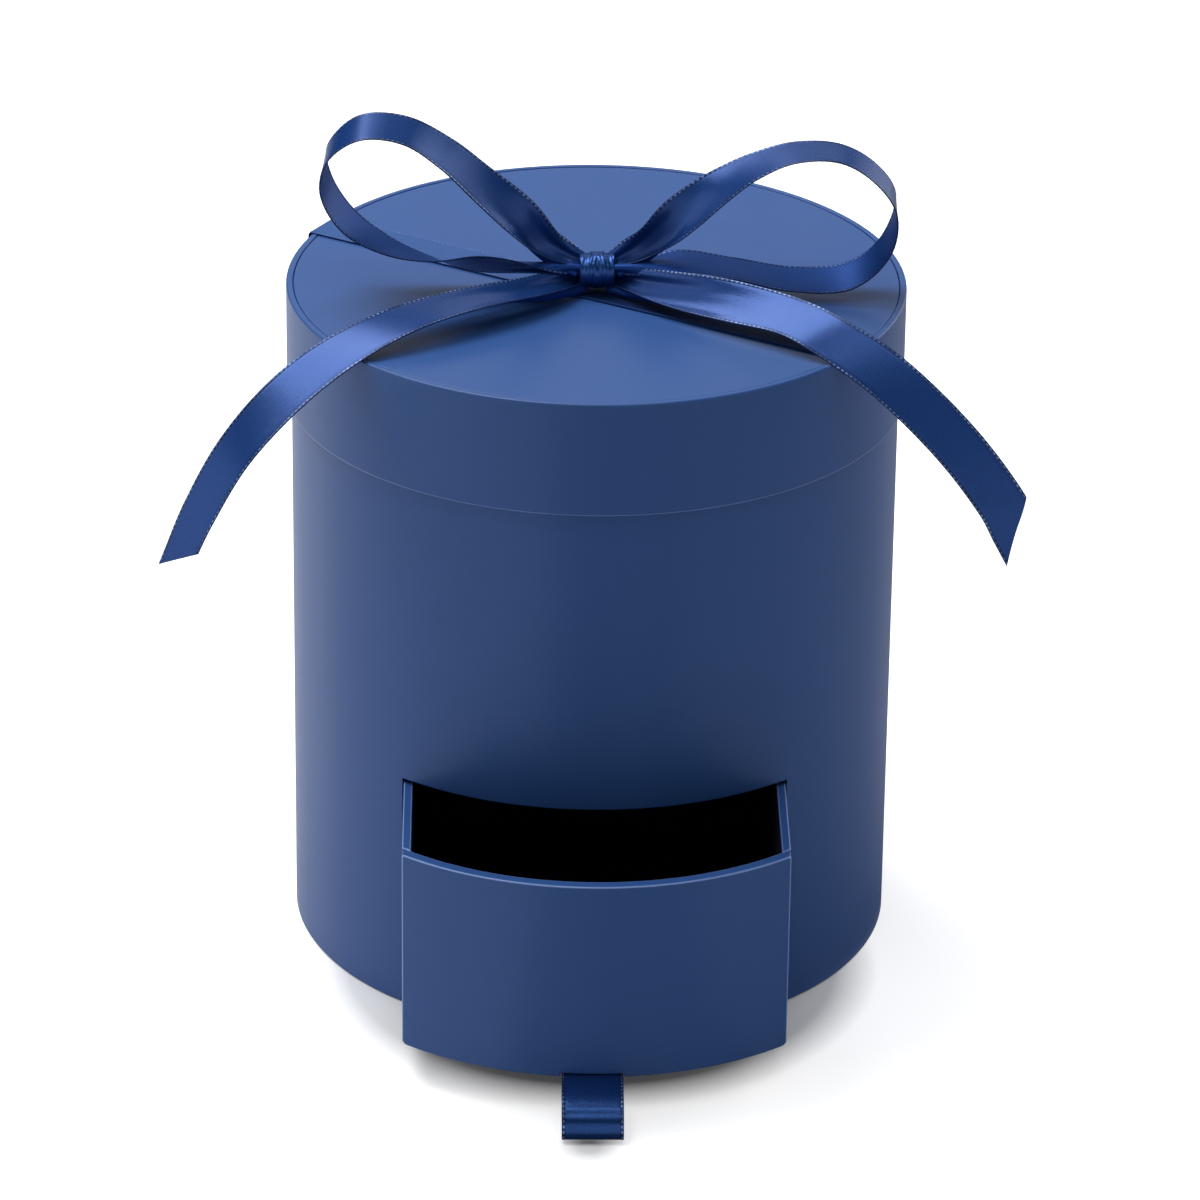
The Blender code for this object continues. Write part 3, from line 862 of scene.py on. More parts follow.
@dataclass
class Drawer:
    """The drawer: a curved wrapped front, three straight boards, a floor and their linings."""

    sizes: Frame
    finishes: Finishes
    front_board: float = 3.8 * MM
    top_corner: float = 0.9 * MM
    foot_corner: float = 1.6 * MM
    fold: float = 0.42 * MM
    notch_gap: float = 0.4 * MM
    side_fold: float = 0.38 * MM
    lining: float = 0.15 * MM
    lining_drop: float = 0.9 * MM
    overrun: float = 5.0 * MM
    seat: float = 0.02 * MM

    def build(self) -> None:
        """Build and dress every piece of the drawer, and paper its floor."""
        self.make_front()
        for side, label in ((-1, "left"), (1, "right")):
            self.make_side(side, label)
        self.make_back()
        self.make_front_lining()
        self.make_back_lining()
        repaper("drawer_bottom", self.finishes.lining)

    def slide_out(self, item: Object) -> Object:
        """Move a piece made about the box's axis to where the open drawer holds it."""
        item.data.transform(Matrix.Translation((0.0, -self.sizes.drawer_open, 0.0)))
        return item

    def trim_to_front(self, item: Object) -> Object:
        """Trim a board to the inside of the front's curve.

        Args:
            item: The board, still about the box's axis.

        Returns:
            The board.
        """
        low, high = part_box("drawer_front")
        radius, past = self.sizes.body_radius - self.front_board - self.seat, self.overrun
        return trim(item, sleeve("curve_tool", radius, 0.0, low.z - past, high.z + past), "INTERSECT")

    def make_front(self) -> None:
        """Make the curved front: a turned ring with rounded corners and a notch for the pull."""
        low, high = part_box("drawer_front")
        pull_low, pull_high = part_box("pull_ribbon")
        floor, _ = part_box("drawer_bottom")
        outer, past, gap = self.sizes.body_radius, self.overrun, self.notch_gap
        front = sleeve("drawer_front_wrap", outer, outer - self.front_board, low.z - past, high.z + past)
        outline = round_corners(
            [
                (low.x, low.z, self.foot_corner),
                (high.x, low.z, self.foot_corner),
                (high.x, high.z, self.top_corner),
                (low.x, high.z, self.top_corner),
            ]
        )
        trim(front, prism("front_tool", outline, -outer - past, 0.0), "INTERSECT")
        near, far = (pull_low.x - gap, -outer - past, low.z - past), (pull_high.x + gap, 0.0, floor.z)
        trim(front, board("notch_tool", near, far))
        ease_edges(front, self.fold, (self.finishes.wrap, self.finishes.fold), full_width=True)
        round_shading(front)
        # The painted highlight stays on the folds along the top and down the outer edges
        for face in front.data.polygons:
            inside = math.hypot(face.center.x, face.center.y) < outer - self.front_board / 2
            least = high.z - self.top_corner if inside else low.z + self.foot_corner
            if face.center.z < least:
                face.material_index = 0
        self.finishes.dress(self.slide_out(front), Slot.WRAP, Body.DRAWER)
        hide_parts("drawer_front")

    def make_side(self, side: int, label: str) -> None:
        """Make a side wall that butts against the front's inner face, and the lining inside it.

        Args:
            side: -1 for the left wall and 1 for the right one.
            label: The word for that side in names.
        """
        low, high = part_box(f"drawer_side_{label}")
        near, shift = -self.sizes.body_radius, self.sizes.drawer_open
        wall = board(f"drawer_side_wrap_{label}", (low.x, near, low.z), (high.x, high.y + shift, high.z))
        self.trim_to_front(wall)
        ease_edges(wall, self.side_fold, (self.finishes.wrap, self.finishes.fold))
        # Only the top fold keeps its painted highlight
        for face in wall.data.polygons:
            if face.center.z < high.z - self.top_corner:
                face.material_index = 0
        self.finishes.dress(self.slide_out(wall), Slot.WRAP, Body.DRAWER)
        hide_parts(f"drawer_side_{label}")

        _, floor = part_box("drawer_bottom")
        back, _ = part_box("drawer_back")
        face = high.x if side < 0 else low.x
        left, right = sorted((face, face - side * self.lining))
        top = high.z - self.lining_drop
        sheet = board(f"drawer_lining_{label}", (left, near, floor.z), (right, back.y + shift, top))
        self.trim_to_front(sheet).data.shade_flat()
        self.finishes.dress(self.slide_out(sheet), Slot.LINING, Body.DRAWER)

    def make_back(self) -> None:
        """Make the back wall between the side walls."""
        low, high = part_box("drawer_back")
        wall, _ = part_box("drawer_side_right")
        half = wall.x - self.seat
        back = board("drawer_back_wrap", (-half, low.y, low.z), (half, high.y, high.z))
        ease_edges(back, self.side_fold, (self.finishes.wrap, self.finishes.fold))
        self.finishes.dress(back, Slot.WRAP, Body.DRAWER)
        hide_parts("drawer_back")

    def make_front_lining(self) -> None:
        """Make the lining sheet on the inner face of the curved front."""
        _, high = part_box("drawer_front")
        _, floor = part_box("drawer_bottom")
        wall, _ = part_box("drawer_side_right")
        outer = self.sizes.body_radius - self.front_board - self.seat
        top, half, past = high.z - self.lining_drop, wall.x - self.lining, self.overrun
        sheet = sleeve("drawer_lining_front", outer, outer - self.lining, floor.z, top)
        trim(sheet, board("keep_tool", (-half, -outer - past, 0.0), (half, 0.0, top + past)), "INTERSECT")
        self.finishes.dress(self.slide_out(round_shading(sheet)), Slot.LINING, Body.DRAWER)

    def make_back_lining(self) -> None:
        """Make the lining sheet on the inner face of the back wall."""
        low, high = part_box("drawer_back")
        _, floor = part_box("drawer_bottom")
        near, far = (low.x, low.y - self.lining, floor.z), (high.x, low.y, high.z - self.lining_drop)
        sheet = board("drawer_lining_back", near, far)
        sheet.data.shade_flat()
        self.finishes.dress(sheet, Slot.LINING, Body.DRAWER)


@dataclass
class Lid(WrappedShell):
    """The lift-off lid: a wrapped wall with a raised rim, an inset disc and a lining."""

    wall: float = 1.2 * MM
    rim: float = 2.2 * MM
    rim_round: float = 0.7 * MM
    rim_inner_round: float = 0.3 * MM
    hem_round: float = 0.5 * MM
    hem_highlight_reach: float = 0.06 * MM
    disc_round: float = 0.3 * MM
    disc_gap: float = 0.2 * MM
    turn_in: float = 14.0 * MM
    slit_drop: float = 5.0 * MM
    slit_height: float = 1.5 * MM
    slit_depth: float = 0.8 * MM

    def build(self) -> None:
        """Build and dress every piece of the lid, and paper its lining card."""
        self.make_wall()
        self.make_disc()
        outer, low = self.sizes.lid_radius, self.sizes.lid_hem + self.hem_round
        self.add_lap("lid_wrap_lap", outer, low, self.sizes.lid_top - self.rim_round, Body.LID)
        self.add_pasted("lid_wrap_turn_in", outer - self.wall, low, low + self.turn_in, Slot.WRAP, Body.LID)
        repaper("lid_lining", self.finishes.lining)

    def make_wall(self) -> None:
        """Make the lid's wall with its rim, its hem and the two slits of the band."""
        outer, top, hem = self.sizes.lid_radius, self.sizes.lid_top, self.sizes.lid_hem
        inner, rim, slit = outer - self.wall, outer - self.rim, top - self.slit_drop
        fold, lip, foot = self.rim_round, self.rim_inner_round, self.hem_round
        outline = [
            *arc((outer - foot, hem + foot), foot, -90, 0),
            (outer, slit - self.slit_height),
            (outer, slit + self.slit_height),
            *arc((outer - fold, top - fold), fold, 0, 90),
            *arc((rim + lip, top - lip), lip, 90, 180, 3),
            (rim, self.sizes.disc_low),
            (inner, self.sizes.disc_low),
            (inner, hem + foot),
            (inner + foot / 2, hem),
        ]
        wall = turned("lid_wrap", outline)
        half, low = Band.WIDTH / 2 + self.slit_height / 4, slit - self.slit_height / 2
        for end in (-1, 1):
            near, far = sorted((end * (outer - self.slit_depth), end * (outer + self.overrun)))
            start = (near, -Band.OFFSET - half, low)
            tool = board("slit_tool", start, (far, -Band.OFFSET + half, low + self.slit_height))
            tool.data.transform(Matrix.Rotation(Band.HEADING, 4, "Z"))
            trim(wall, tool)
        round_shading(even_shading(wall))
        for material in (self.finishes.wrap, self.finishes.fold):
            wall.data.materials.append(material)
        # A painted highlight lies on the fold where the wrap turns under the hem
        for face in wall.data.polygons:
            outwards = math.hypot(face.center.x, face.center.y) > outer - self.hem_highlight_reach
            if outwards and face.center.z < hem + foot:
                face.material_index = 1
        self.finishes.dress(wall, Slot.WRAP, Body.LID)
        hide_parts("lid_wall")

    def make_disc(self) -> None:
        """Make the inset top disc, its paper folded round its edge."""
        radius, fold = self.sizes.lid_radius - self.rim - self.disc_gap, self.disc_round
        low, high = self.sizes.disc_low, self.sizes.disc_high
        edge = arc((radius - fold, high - fold), fold, 0, 90)
        disc = turned("lid_disc_wrap", [(0.0, low), (radius, low), *edge, (0.0, high)])
        self.finishes.dress(even_shading(disc), Slot.WRAP, Body.LID)
        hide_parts("lid_top")


def unit(vectors: np.ndarray) -> np.ndarray:
    """Give every vector of an array a length of 1."""
    return vectors / np.linalg.norm(vectors, axis=-1, keepdims=True)


def lay_weave(mesh: bpy.types.Mesh, along: np.ndarray, across: np.ndarray, margin: np.ndarray) -> None:
    """Lay a ribbon's two UV maps, in metres: its weave, and the way in from its selvedge.

    Args:
        mesh: The ribbon's mesh.
        along: Each vertex's distance along the ribbon.
        across: Its distance from the middle.
        margin: Its distance from the nearer edge.
    """
    corner = np.zeros(len(mesh.loops), dtype=np.int32)
    mesh.loops.foreach_get("vertex_index", corner)
    for layer, second in ((Ribbon.WEAVE, across), (Ribbon.EDGE, margin)):
        store = mesh.uv_layers.new(name=layer)
        pairs = np.stack([along[corner], second[corner]], axis=-1)
        store.data.foreach_set("uv", pairs.reshape(-1).astype(np.float32))


@dataclass
class Ribbon:
    """A length of woven ribbon along stations, with folds across it and bound selvedges.

    A station gives the centre of the ribbon, the direction across it, the share of its width that
    is left when it is gathered into pleats, and the turn from one edge to the other when it cups.
    """

    WEAVE = "weave"
    EDGE = "edge"

    name: str
    stations: np.ndarray
    width: float
    face_finish: Material
    back_finish: Material
    outer_side: int = 1
    cut_share: float = 0.0
    # Past this share of its length the face takes the back's finish; on the band that finish is a painted
    # shadow
    back_finish_from: float = 2.0
    # Pleats: how many cross the width, their phase and their part of the swing
    folds: Sequence[Point3] = ((0.9, 0.12, 0.8), (2.1, 0.55, 0.45), (3.7, 0.2, 0.2))
    fold_swing: float = 1.85
    fold_fade: float = 1.2
    least_gather: float = 0.2
    thick: float = 0.34 * MM
    bead_width: float = 0.9 * MM
    # The bound edge: shares of the bead's width in from the edge, and the thickness there
    bead: Sequence[Point] = (
        (0.0, 0.12 * MM), (0.12, 0.4 * MM), (0.35, 0.5 * MM), (0.65, 0.48 * MM), (0.88, 0.36 * MM),
        (1.0, 0.24 * MM), (1.3, 0.34 * MM),
    )
    binding_pitch: float = 1.7 * MM
    binding_depth: float = 0.12
    binding_slant: float = 0.8
    row_step: float = 0.36 * MM
    least_rows: int = 8
    cell: float = 0.9 * MM
    cut_run: float = 25.0 * MM
    curve_steps: int = 40

    def smooth_line(self) -> tuple[np.ndarray, np.ndarray]:
        """Read a smooth curve through the stations.

        Returns:
            The distance along the curve and the station values at many points on it.
        """
        rows = self.stations
        padded = np.vstack([2 * rows[0] - rows[1], rows, 2 * rows[-1] - rows[-2]])
        out = []
        for first in range(1, len(padded) - 2):
            before, start, end, after = padded[first - 1:first + 3]
            for t in np.arange(self.curve_steps) / self.curve_steps:
                line = 2 * start + (end - before) * t
                bend = (2 * before - 5 * start + 4 * end - after) * t**2
                ease = (3 * start - before - 3 * end + after) * t**3
                out.append((line + bend + ease) / 2)
        out.append(rows[-1])
        values = np.array(out)
        steps = np.linalg.norm(np.diff(values[:, :3], axis=0), axis=1)
        return np.concatenate([[0.0], np.cumsum(steps)]), values

    def columns(self) -> tuple[np.ndarray, np.ndarray]:
        """List the places across the ribbon and its thickness there.

        Returns:
            Distances from the middle, and the thickness without the binding's turns.
        """
        half = self.width / 2
        shares, edge_thick = np.array(self.bead).T
        edge_places = shares * self.bead_width
        inner = half - edge_places[-1]
        count = max(2, round(2 * inner / self.cell))
        middle = np.linspace(-inner, inner, count + 1)[1:-1]
        places = np.concatenate([-half + edge_places, middle, (half - edge_places)[::-1]])
        thick = np.concatenate([edge_thick, np.full(len(middle), self.thick), edge_thick[::-1]])
        return places, thick

    def build(self) -> Object:
        """Make the ribbon as one closed mesh with UVs in metres.

        Returns:
            The ribbon's object.
        """
        length_at, values = self.smooth_line()
        length = length_at[-1]
        places, thick = self.columns()
        rows = max(self.least_rows, round(length / self.row_step))
        down = np.linspace(0.0, length, rows + 1)
        slant = np.clip((down - (length - self.cut_run)) / self.cut_run, 0, 1)[:, None] * self.cut_share
        along = down[:, None] + slant * places[None, :]

        def read(column: np.ndarray) -> np.ndarray:
            """Read a column along the ribbon, run on in a straight line past its last station."""
            last = (column[-1] - column[-2]) / (length_at[-1] - length_at[-2])
            return np.interp(along, length_at, column) + np.clip(along - length, 0, None) * last

        def read_vectors(table: np.ndarray) -> np.ndarray:
            """Read three columns as vectors."""
            return np.stack([read(column) for column in table.T], axis=-1)

        centre = read_vectors(values[:, :3])
        tangent = unit(read_vectors(np.gradient(values[:, :3], length_at, axis=0)))
        across = read_vectors(values[:, 3:6])
        across = unit(across - np.sum(across * tangent, axis=-1, keepdims=True) * tangent)
        normal = np.cross(tangent, across) * self.outer_side
        gather = np.clip(read(values[:, 6]), self.least_gather, 1.0)
        cup = read(values[:, 7])

        # A pleat of this swing leaves about this share of the width, and it fades without a step
        swing = self.fold_swing * np.clip((1 - gather) / (1 - GATHER_SHARE), 0, 1) ** self.fold_fade
        share = places[None, :] / self.width
        turn = cup * share * 2
        for count, phase, part in self.folds:
            turn = turn + swing * part * np.sin(2 * math.pi * (count * share + phase))
        gaps = np.diff(places)[None, :]
        mid = (turn[:, 1:] + turn[:, :-1]) / 2
        start = np.zeros((len(down), 1))
        run = np.concatenate([start, np.cumsum(np.cos(mid) * gaps, axis=1)], axis=1)
        lift = np.concatenate([start, np.cumsum(np.sin(mid) * gaps, axis=1)], axis=1)
        run -= (run[:, :1] + run[:, -1:]) / 2
        lift -= lift.mean(axis=1, keepdims=True)
        surface = centre + across * run[..., None] + normal * lift[..., None]
        local = normal * np.cos(turn)[..., None] - across * np.sin(turn)[..., None]

        from_edge = self.width / 2 - np.abs(places)
        bound = np.clip(1 - from_edge / self.bead_width, 0, 1)[None, :] > 0
        phase = (along + from_edge[None, :] * self.binding_slant) / self.binding_pitch
        height = thick * np.where(bound, 1 + self.binding_depth * np.sin(2 * math.pi * phase), 1.0)
        rise = local * (height / 2)[..., None]
        return self.close(surface + rise, surface - rise, along, places)

    def close(self, face: np.ndarray, back: np.ndarray, along: np.ndarray, places: np.ndarray) -> Object:
        """Join the two sides of the ribbon into a closed mesh.

        Args:
            face: Places of the satin side, by row and column.
            back: Places of the back.
            along: Distance along the ribbon of each place.
            places: Distance from the middle of each column.

        Returns:
            The ribbon's object.
        """
        rows, columns = along.shape
        size = rows * columns
        grid = np.arange(size).reshape(rows, columns)
        corners = (grid[:-1, :-1], grid[:-1, 1:], grid[1:, 1:], grid[1:, :-1])
        quads = np.stack(corners, axis=-1).reshape(-1, 4)
        if self.outer_side > 0:
            quads = quads[:, ::-1]
        under = quads[:, ::-1] + size
        rim = np.concatenate([grid[0, :], grid[1:, -1], grid[-1, -2::-1], grid[-2:0:-1, 0]])
        after = np.roll(rim, -1)
        side = np.stack([rim, rim + size, after + size, after], axis=-1)
        if self.outer_side > 0:
            side = side[:, ::-1]
        faces = np.concatenate([quads, under, side])
        points = np.concatenate([face.reshape(-1, 3), back.reshape(-1, 3)])
        mesh = bpy.data.meshes.new(self.name)
        mesh.from_pydata(points.tolist(), [], faces.tolist())
        mesh.shade_smooth()
        for material in (self.face_finish, self.back_finish):
            mesh.materials.append(material)
        marks = np.zeros(len(faces), dtype=np.int32)
        marks[len(quads):2 * len(quads)] = 1
        cells = np.repeat(np.arange(rows - 1), columns - 1) > self.back_finish_from * (rows - 1)
        marks[:len(quads)][cells] = 1
        mesh.polygons.foreach_set("material_index", marks)
        across = np.tile(places, 2 * rows)
        lay_weave(mesh, np.tile(along.reshape(-1), 2), across, self.width / 2 - np.abs(across))
        item = bpy.data.objects.new(self.name, mesh)
        bpy.context.scene.collection.objects.link(item)
        return item


class Band:
    """Where the band lies across the lid: its width, its offset from the middle and its heading."""

    WIDTH = 15.5 * MM
    OFFSET = 7.9 * MM
    HEADING = math.radians(-31.0)


# Stations of the bow, as shares of the lid's radius: out from the knot, forward, and up from the
# lid's top, then the direction across, the share of the width left by the pleats, and the cup
LEFT_LOOP_SHARES = (
    (-0.160, 0.005, 0.155, 0.46, 0.69, 0.56, 0.72, 1.0),
    (-0.250, -0.010, 0.255, 0.49, 0.71, 0.50, 0.92, 0.5),
    (-0.367, -0.005, 0.364, 0.39, 0.85, 0.37, 1.00, 0.1),
    (-0.484, -0.002, 0.469, 0.24, 0.92, 0.31, 1.00, 0.0),
    (-0.616, -0.005, 0.549, 0.06, 0.96, 0.26, 1.00, 0.0),
    (-0.759, -0.006, 0.557, -0.02, 0.975, 0.18, 1.00, 0.0),
    (-0.861, 0.003, 0.468, 0.01, 1.00, 0.03, 1.00, 0.0),
    (-0.867, 0.012, 0.352, 0.20, 0.97, 0.11, 1.00, 0.0),
    (-0.795, 0.010, 0.231, 0.20, 0.96, 0.16, 1.00, 0.0),
    (-0.669, -0.002, 0.151, 0.08, 1.00, 0.00, 1.00, 0.0),
    (-0.530, -0.010, 0.110, 0.00, 0.96, -0.29, 1.00, 0.0),
    (-0.380, -0.005, 0.093, -0.04, 0.76, -0.65, 1.00, 0.0),
    (-0.220, 0.010, 0.075, -0.04, 0.86, -0.50, 0.80, 0.0),
)
RIGHT_LOOP_SHARES = (
    (0.169, 0.001, 0.173, -0.56, 0.40, 0.72, 0.72, 1.0),
    (0.277, 0.000, 0.267, -0.47, 0.70, 0.53, 0.92, 0.5),
    (0.383, -0.002, 0.358, -0.28, 0.88, 0.37, 1.00, 0.1),
    (0.495, -0.002, 0.431, -0.10, 0.97, 0.21, 1.00, 0.0),
    (0.625, -0.003, 0.480, 0.00, 1.00, 0.09, 1.00, 0.0),
    (0.768, -0.006, 0.479, 0.03, 1.00, 0.04, 1.00, 0.0),
    (0.883, -0.010, 0.413, 0.04, 1.00, 0.07, 1.00, 0.0),
    (0.953, -0.001, 0.299, 0.02, 0.99, 0.09, 1.00, 0.0),
    (0.919, -0.003, 0.153, -0.15, 0.98, 0.04, 1.00, 0.0),
    (0.800, -0.020, 0.062, -0.10, 0.97, 0.20, 1.00, 0.0),
    (0.619, -0.015, 0.050, 0.05, 0.98, 0.15, 1.00, 0.0),
    (0.433, -0.012, 0.084, 0.08, 0.99, 0.08, 1.00, 0.0),
    (0.245, 0.000, 0.102, 0.03, 0.98, 0.14, 0.90, 0.0),
)
LEFT_TAIL_SHARES = (
    (-0.208, -0.142, 0.060, -0.60, 0.80, 0.06, 0.72, 0.4),
    (-0.382, -0.261, 0.082, -0.57, 0.82, 0.05, 0.92, 0.1),
    (-0.564, -0.382, 0.080, -0.56, 0.82, 0.11, 1.00, 0.0),
    (-0.727, -0.494, 0.049, -0.60, 0.78, 0.20, 1.00, 0.0),
    (-0.885, -0.602, -0.015, -0.65, 0.70, 0.29, 1.00, 0.0),
    (-1.023, -0.696, -0.110, -0.68, 0.68, 0.27, 1.00, 0.0),
    (-1.149, -0.781, -0.240, -0.67, 0.73, 0.15, 1.00, 0.0),
    (-1.248, -0.848, -0.401, -0.64, 0.76, 0.06, 1.00, 0.0),
    (-1.313, -0.894, -0.538, -0.59, 0.80, -0.01, 1.00, 0.0),
)
RIGHT_TAIL_SHARES = (
    (0.236, -0.166, 0.071, 0.47, 0.66, 0.58, 0.72, 0.4),
    (0.425, -0.298, 0.088, 0.47, 0.66, 0.58, 0.92, 0.1),
    (0.601, -0.418, 0.091, 0.55, 0.70, 0.45, 1.00, 0.0),
    (0.726, -0.519, 0.064, 0.64, 0.58, 0.50, 1.00, 0.0),
    (0.879, -0.619, -0.006, 0.66, 0.42, 0.60, 1.00, 0.0),
    (1.015, -0.711, -0.100, 0.71, 0.28, 0.64, 1.00, 0.0),
    (1.141, -0.799, -0.211, 0.77, 0.21, 0.60, 1.00, 0.0),
    (1.248, -0.873, -0.336, 0.84, 0.16, 0.51, 1.00, 0.0),
    (1.299, -0.911, -0.422, 0.87, 0.14, 0.46, 1.00, 0.0),
)
# Height of each strand's end on the knot, from its middle and as a share of the knot's height: a
# loop's start and end, and a tail
LOOP_LEVEL_SHARES = (0.17, -0.04)
TAIL_LEVEL_SHARE = -0.24
# The share of the ribbon's width that is left where the knot gathers it
GATHER_SHARE = 0.35
# How far each tail's cut runs along the ribbon from edge to edge, in halves of the ribbon's width;
# the sign says which edge is the longer one
LEFT_TAIL_CUT_SHARE = 1.22
RIGHT_TAIL_CUT_SHARE = -2.0


@dataclass
class Bow:
    """The satin bow: two loops, two tails, the knot and the band under it."""

    sizes: Frame
    finishes: Finishes
    width: float = 15.5 * MM
    glue_gap: float = 0.3 * MM
    tuck: float = 0.8 * MM
    band_bend: float = 1.0 * MM
    band_steps: int = 8
    band_end: float = 4.6 * MM
    band_shares: Sequence[float] = (0.9, 0.75, 0.5, 0.25)
    band_painted_shadow_from: float = 0.5

    def build(self) -> None:
        """Build and dress every piece of the bow."""
        for side, label, shares in ((-1, "left", LEFT_LOOP_SHARES), (1, "right", RIGHT_LOOP_SHARES)):
            self.make_loop(side, label, shares)
        tails = (
            (-1, "left", LEFT_TAIL_SHARES, LEFT_TAIL_CUT_SHARE),
            (1, "right", RIGHT_TAIL_SHARES, RIGHT_TAIL_CUT_SHARE),
        )
        for side, label, shares, cut in tails:
            self.make_tail(side, label, shares, cut)
        Knot(self.sizes, self.finishes, self.width).build()
        self.make_band()

    def placed(self, shares: Sequence[Sequence[float]]) -> list[list[float]]:
        """Turn shares of the lid's radius into stations in metres.

        Args:
            shares: Rows of one of the bow's tables.

        Returns:
            A station for each row.
        """
        radius = self.sizes.lid_radius
        return [
            [out * radius, self.sizes.knot.y + fore * radius, self.sizes.lid_top + rise * radius, *rest]
            for out, fore, rise, *rest in shares
        ]

    def knot_end(self, side: int, level_share: float) -> list[float]:
        """Place the gathered end of a strand, tucked a little way into the knot.

        Args:
            side: -1 for the left strand and 1 for the right one.
            level_share: Height from the knot's middle as a share of its height.

        Returns:
            The end's station.
        """
        out = side * (self.sizes.knot_size.x / 2 + self.glue_gap - self.tuck)
        height = self.sizes.knot.z + level_share * self.sizes.knot_size.z
        return [out, self.sizes.knot.y, height, 0.0, 1.0, 0.0, GATHER_SHARE, 0.0]

    def make_loop(self, side: int, label: str, shares: Sequence[Sequence[float]]) -> None:
        """Make one loop, from the top of the knot round to its underside.

        Args:
            side: -1 for the left loop and 1 for the right one.
            label: The word for that side in names.
            shares: The loop's table.
        """
        first, last = (self.knot_end(side, level) for level in LOOP_LEVEL_SHARES)
        stations = np.array([first, *self.placed(shares), last])
        face, back = self.finishes.satin, self.finishes.satin_back
        ribbon = Ribbon(f"bow_loop_{label}_satin", stations, self.width, face, back, outer_side=side)
        item = ribbon.build()
        self.finishes.dress(item, Slot.SATIN, Body.LID)
        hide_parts(f"bow_loop_{label}")

    def make_tail(self, side: int, label: str, shares: Sequence[Sequence[float]], cut: float) -> None:
        """Make one tail, from the underside of the knot to its slanted cut.

        Args:
            side: -1 for the left tail and 1 for the right one.
            label: The word for that side in names.
            shares: The tail's table.
            cut: How far the cut runs along the ribbon from edge to edge, in halves of its width.
        """
        stations = np.array([self.knot_end(side, TAIL_LEVEL_SHARE), *self.placed(shares)])
        face, back = self.finishes.satin, self.finishes.satin_back
        name = f"bow_tail_{label}_satin"
        ribbon = Ribbon(name, stations, self.width, face, back, outer_side=side, cut_share=cut / 2)
        item = ribbon.build()
        self.finishes.dress(item, Slot.SATIN, Body.LID)
        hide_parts(f"bow_tail_{label}")

    def make_band(self) -> None:
        """Make the band that lies across the lid and turns over its rim into the slits."""
        radius, top, lift = self.sizes.lid_radius, self.sizes.lid_top, self.glue_gap
        along = Vector((math.cos(Band.HEADING), math.sin(Band.HEADING), 0.0))
        across = Vector((-math.sin(Band.HEADING), math.cos(Band.HEADING), 0.0))
        reach, bend = math.sqrt(radius**2 - Band.OFFSET**2), self.band_bend
        profile = [(reach + lift, top - self.band_end)]
        profile += arc((reach - bend, top - bend), bend + lift, 0, 90, self.band_steps)
        profile += [(share * reach, top + lift) for share in self.band_shares]
        stations = []
        left = [(-out, height) for out, height in profile]
        for out, height in [*left, (0.0, top + lift), *profile[::-1]]:
            place = along * out - across * Band.OFFSET + Vector((0.0, 0.0, height))
            stations.append([*place, *across, 1.0, 0.0])
        # The band's face is a painted sheen, and past the knot its face takes a near-black painted shadow
        face, back = self.finishes.band_satin_painted_sheen, self.finishes.band_back_painted_shadow
        ribbon = Ribbon("ribbon_band_satin", np.array(stations), self.width, face, back)
        ribbon.back_finish_from = self.band_painted_shadow_from
        item = ribbon.build()
        self.finishes.dress(item, Slot.SATIN, Body.LID)
        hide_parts("ribbon_band")


@dataclass
class Knot:
    """The knot: a short wrap of ribbon round the strands, with its folds drawn together."""

    sizes: Frame
    finishes: Finishes
    width: float
    around: int = 144
    across: int = 56
    inset: float = 0.3 * MM
    # The wrap swells in the middle and falls away over its last tenth at each end
    swell: float = 0.1
    end_start: float = 0.9
    end_fall: float = 18.0
    # Turns of the pleats across the wrap, down round it, and their phase
    fold_turns: Point3 = (1.3, -0.55, 0.05)
    fine_turns: Point3 = (4.6, -1.3, 0.0)
    fold_relief: float = 0.3 * MM
    fine_relief: float = 0.09 * MM
    side_share: float = 0.45
    peak: float = 0.01
    selvedge: float = 2.0 * MM

    def build(self) -> None:
        """Build and dress the knot."""
        size, middle = self.sizes.knot_size, self.sizes.knot
        angles = np.linspace(0, 2 * math.pi, self.around, endpoint=False)
        angle, share = np.meshgrid(angles, np.linspace(-1, 1, self.across + 1), indexing="ij")
        ends = self.end_fall * np.clip(np.abs(share) - self.end_start, 0, 1) ** 2
        round_off = 1 - self.swell * share**2 - ends
        pull = np.clip(np.cos(angle), 0, 1) ** 2
        # The folds run down and outwards from a peak at the top's middle, as a tight knot draws them
        slant = np.sqrt(share**2 + self.peak)
        down = np.minimum(angle, 2 * math.pi - angle) / (math.pi / 2)
        fold, fine = [
            np.sin(2 * math.pi * (out * slant + fall * down + phase))
            for out, fall, phase in (self.fold_turns, self.fine_turns)
        ]
        depth_of_fold = self.side_share + (1 - self.side_share) * pull
        relief = self.fold_relief * fold * depth_of_fold + self.fine_relief * fine
        x = middle.x + share * size.x / 2
        y = middle.y - ((size.y / 2 - self.inset) * round_off + relief) * np.sin(angle)
        z = middle.z + ((size.z / 2 - self.inset) * round_off + relief) * np.cos(angle)
        points = np.stack([x, y, z], axis=-1).reshape(-1, 3)

        rows, columns = self.around, self.across + 1
        faces = []
        for row in range(rows):
            here, after = row * columns, (row + 1) % rows * columns
            for cell in range(self.across):
                faces.append((here + cell, here + cell + 1, after + cell + 1, after + cell))
        faces.append([row * columns for row in range(rows)])
        faces.append([row * columns + self.across for row in range(rows)][::-1])
        item = mesh_object("bow_knot_satin", points.tolist(), faces)
        item.data.materials.append(self.finishes.satin_glossy_painted_highlight)
        along = np.repeat(np.arange(rows), columns) / rows * math.pi * (size.y + size.z) / 2
        over = np.tile((np.arange(columns) / self.across - 0.5) * self.width, rows)
        lay_weave(item.data, along, over, self.width / 2 - np.abs(over) + self.selvedge)
        self.finishes.dress(item, Slot.SATIN, Body.LID)
        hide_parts("bow_knot")


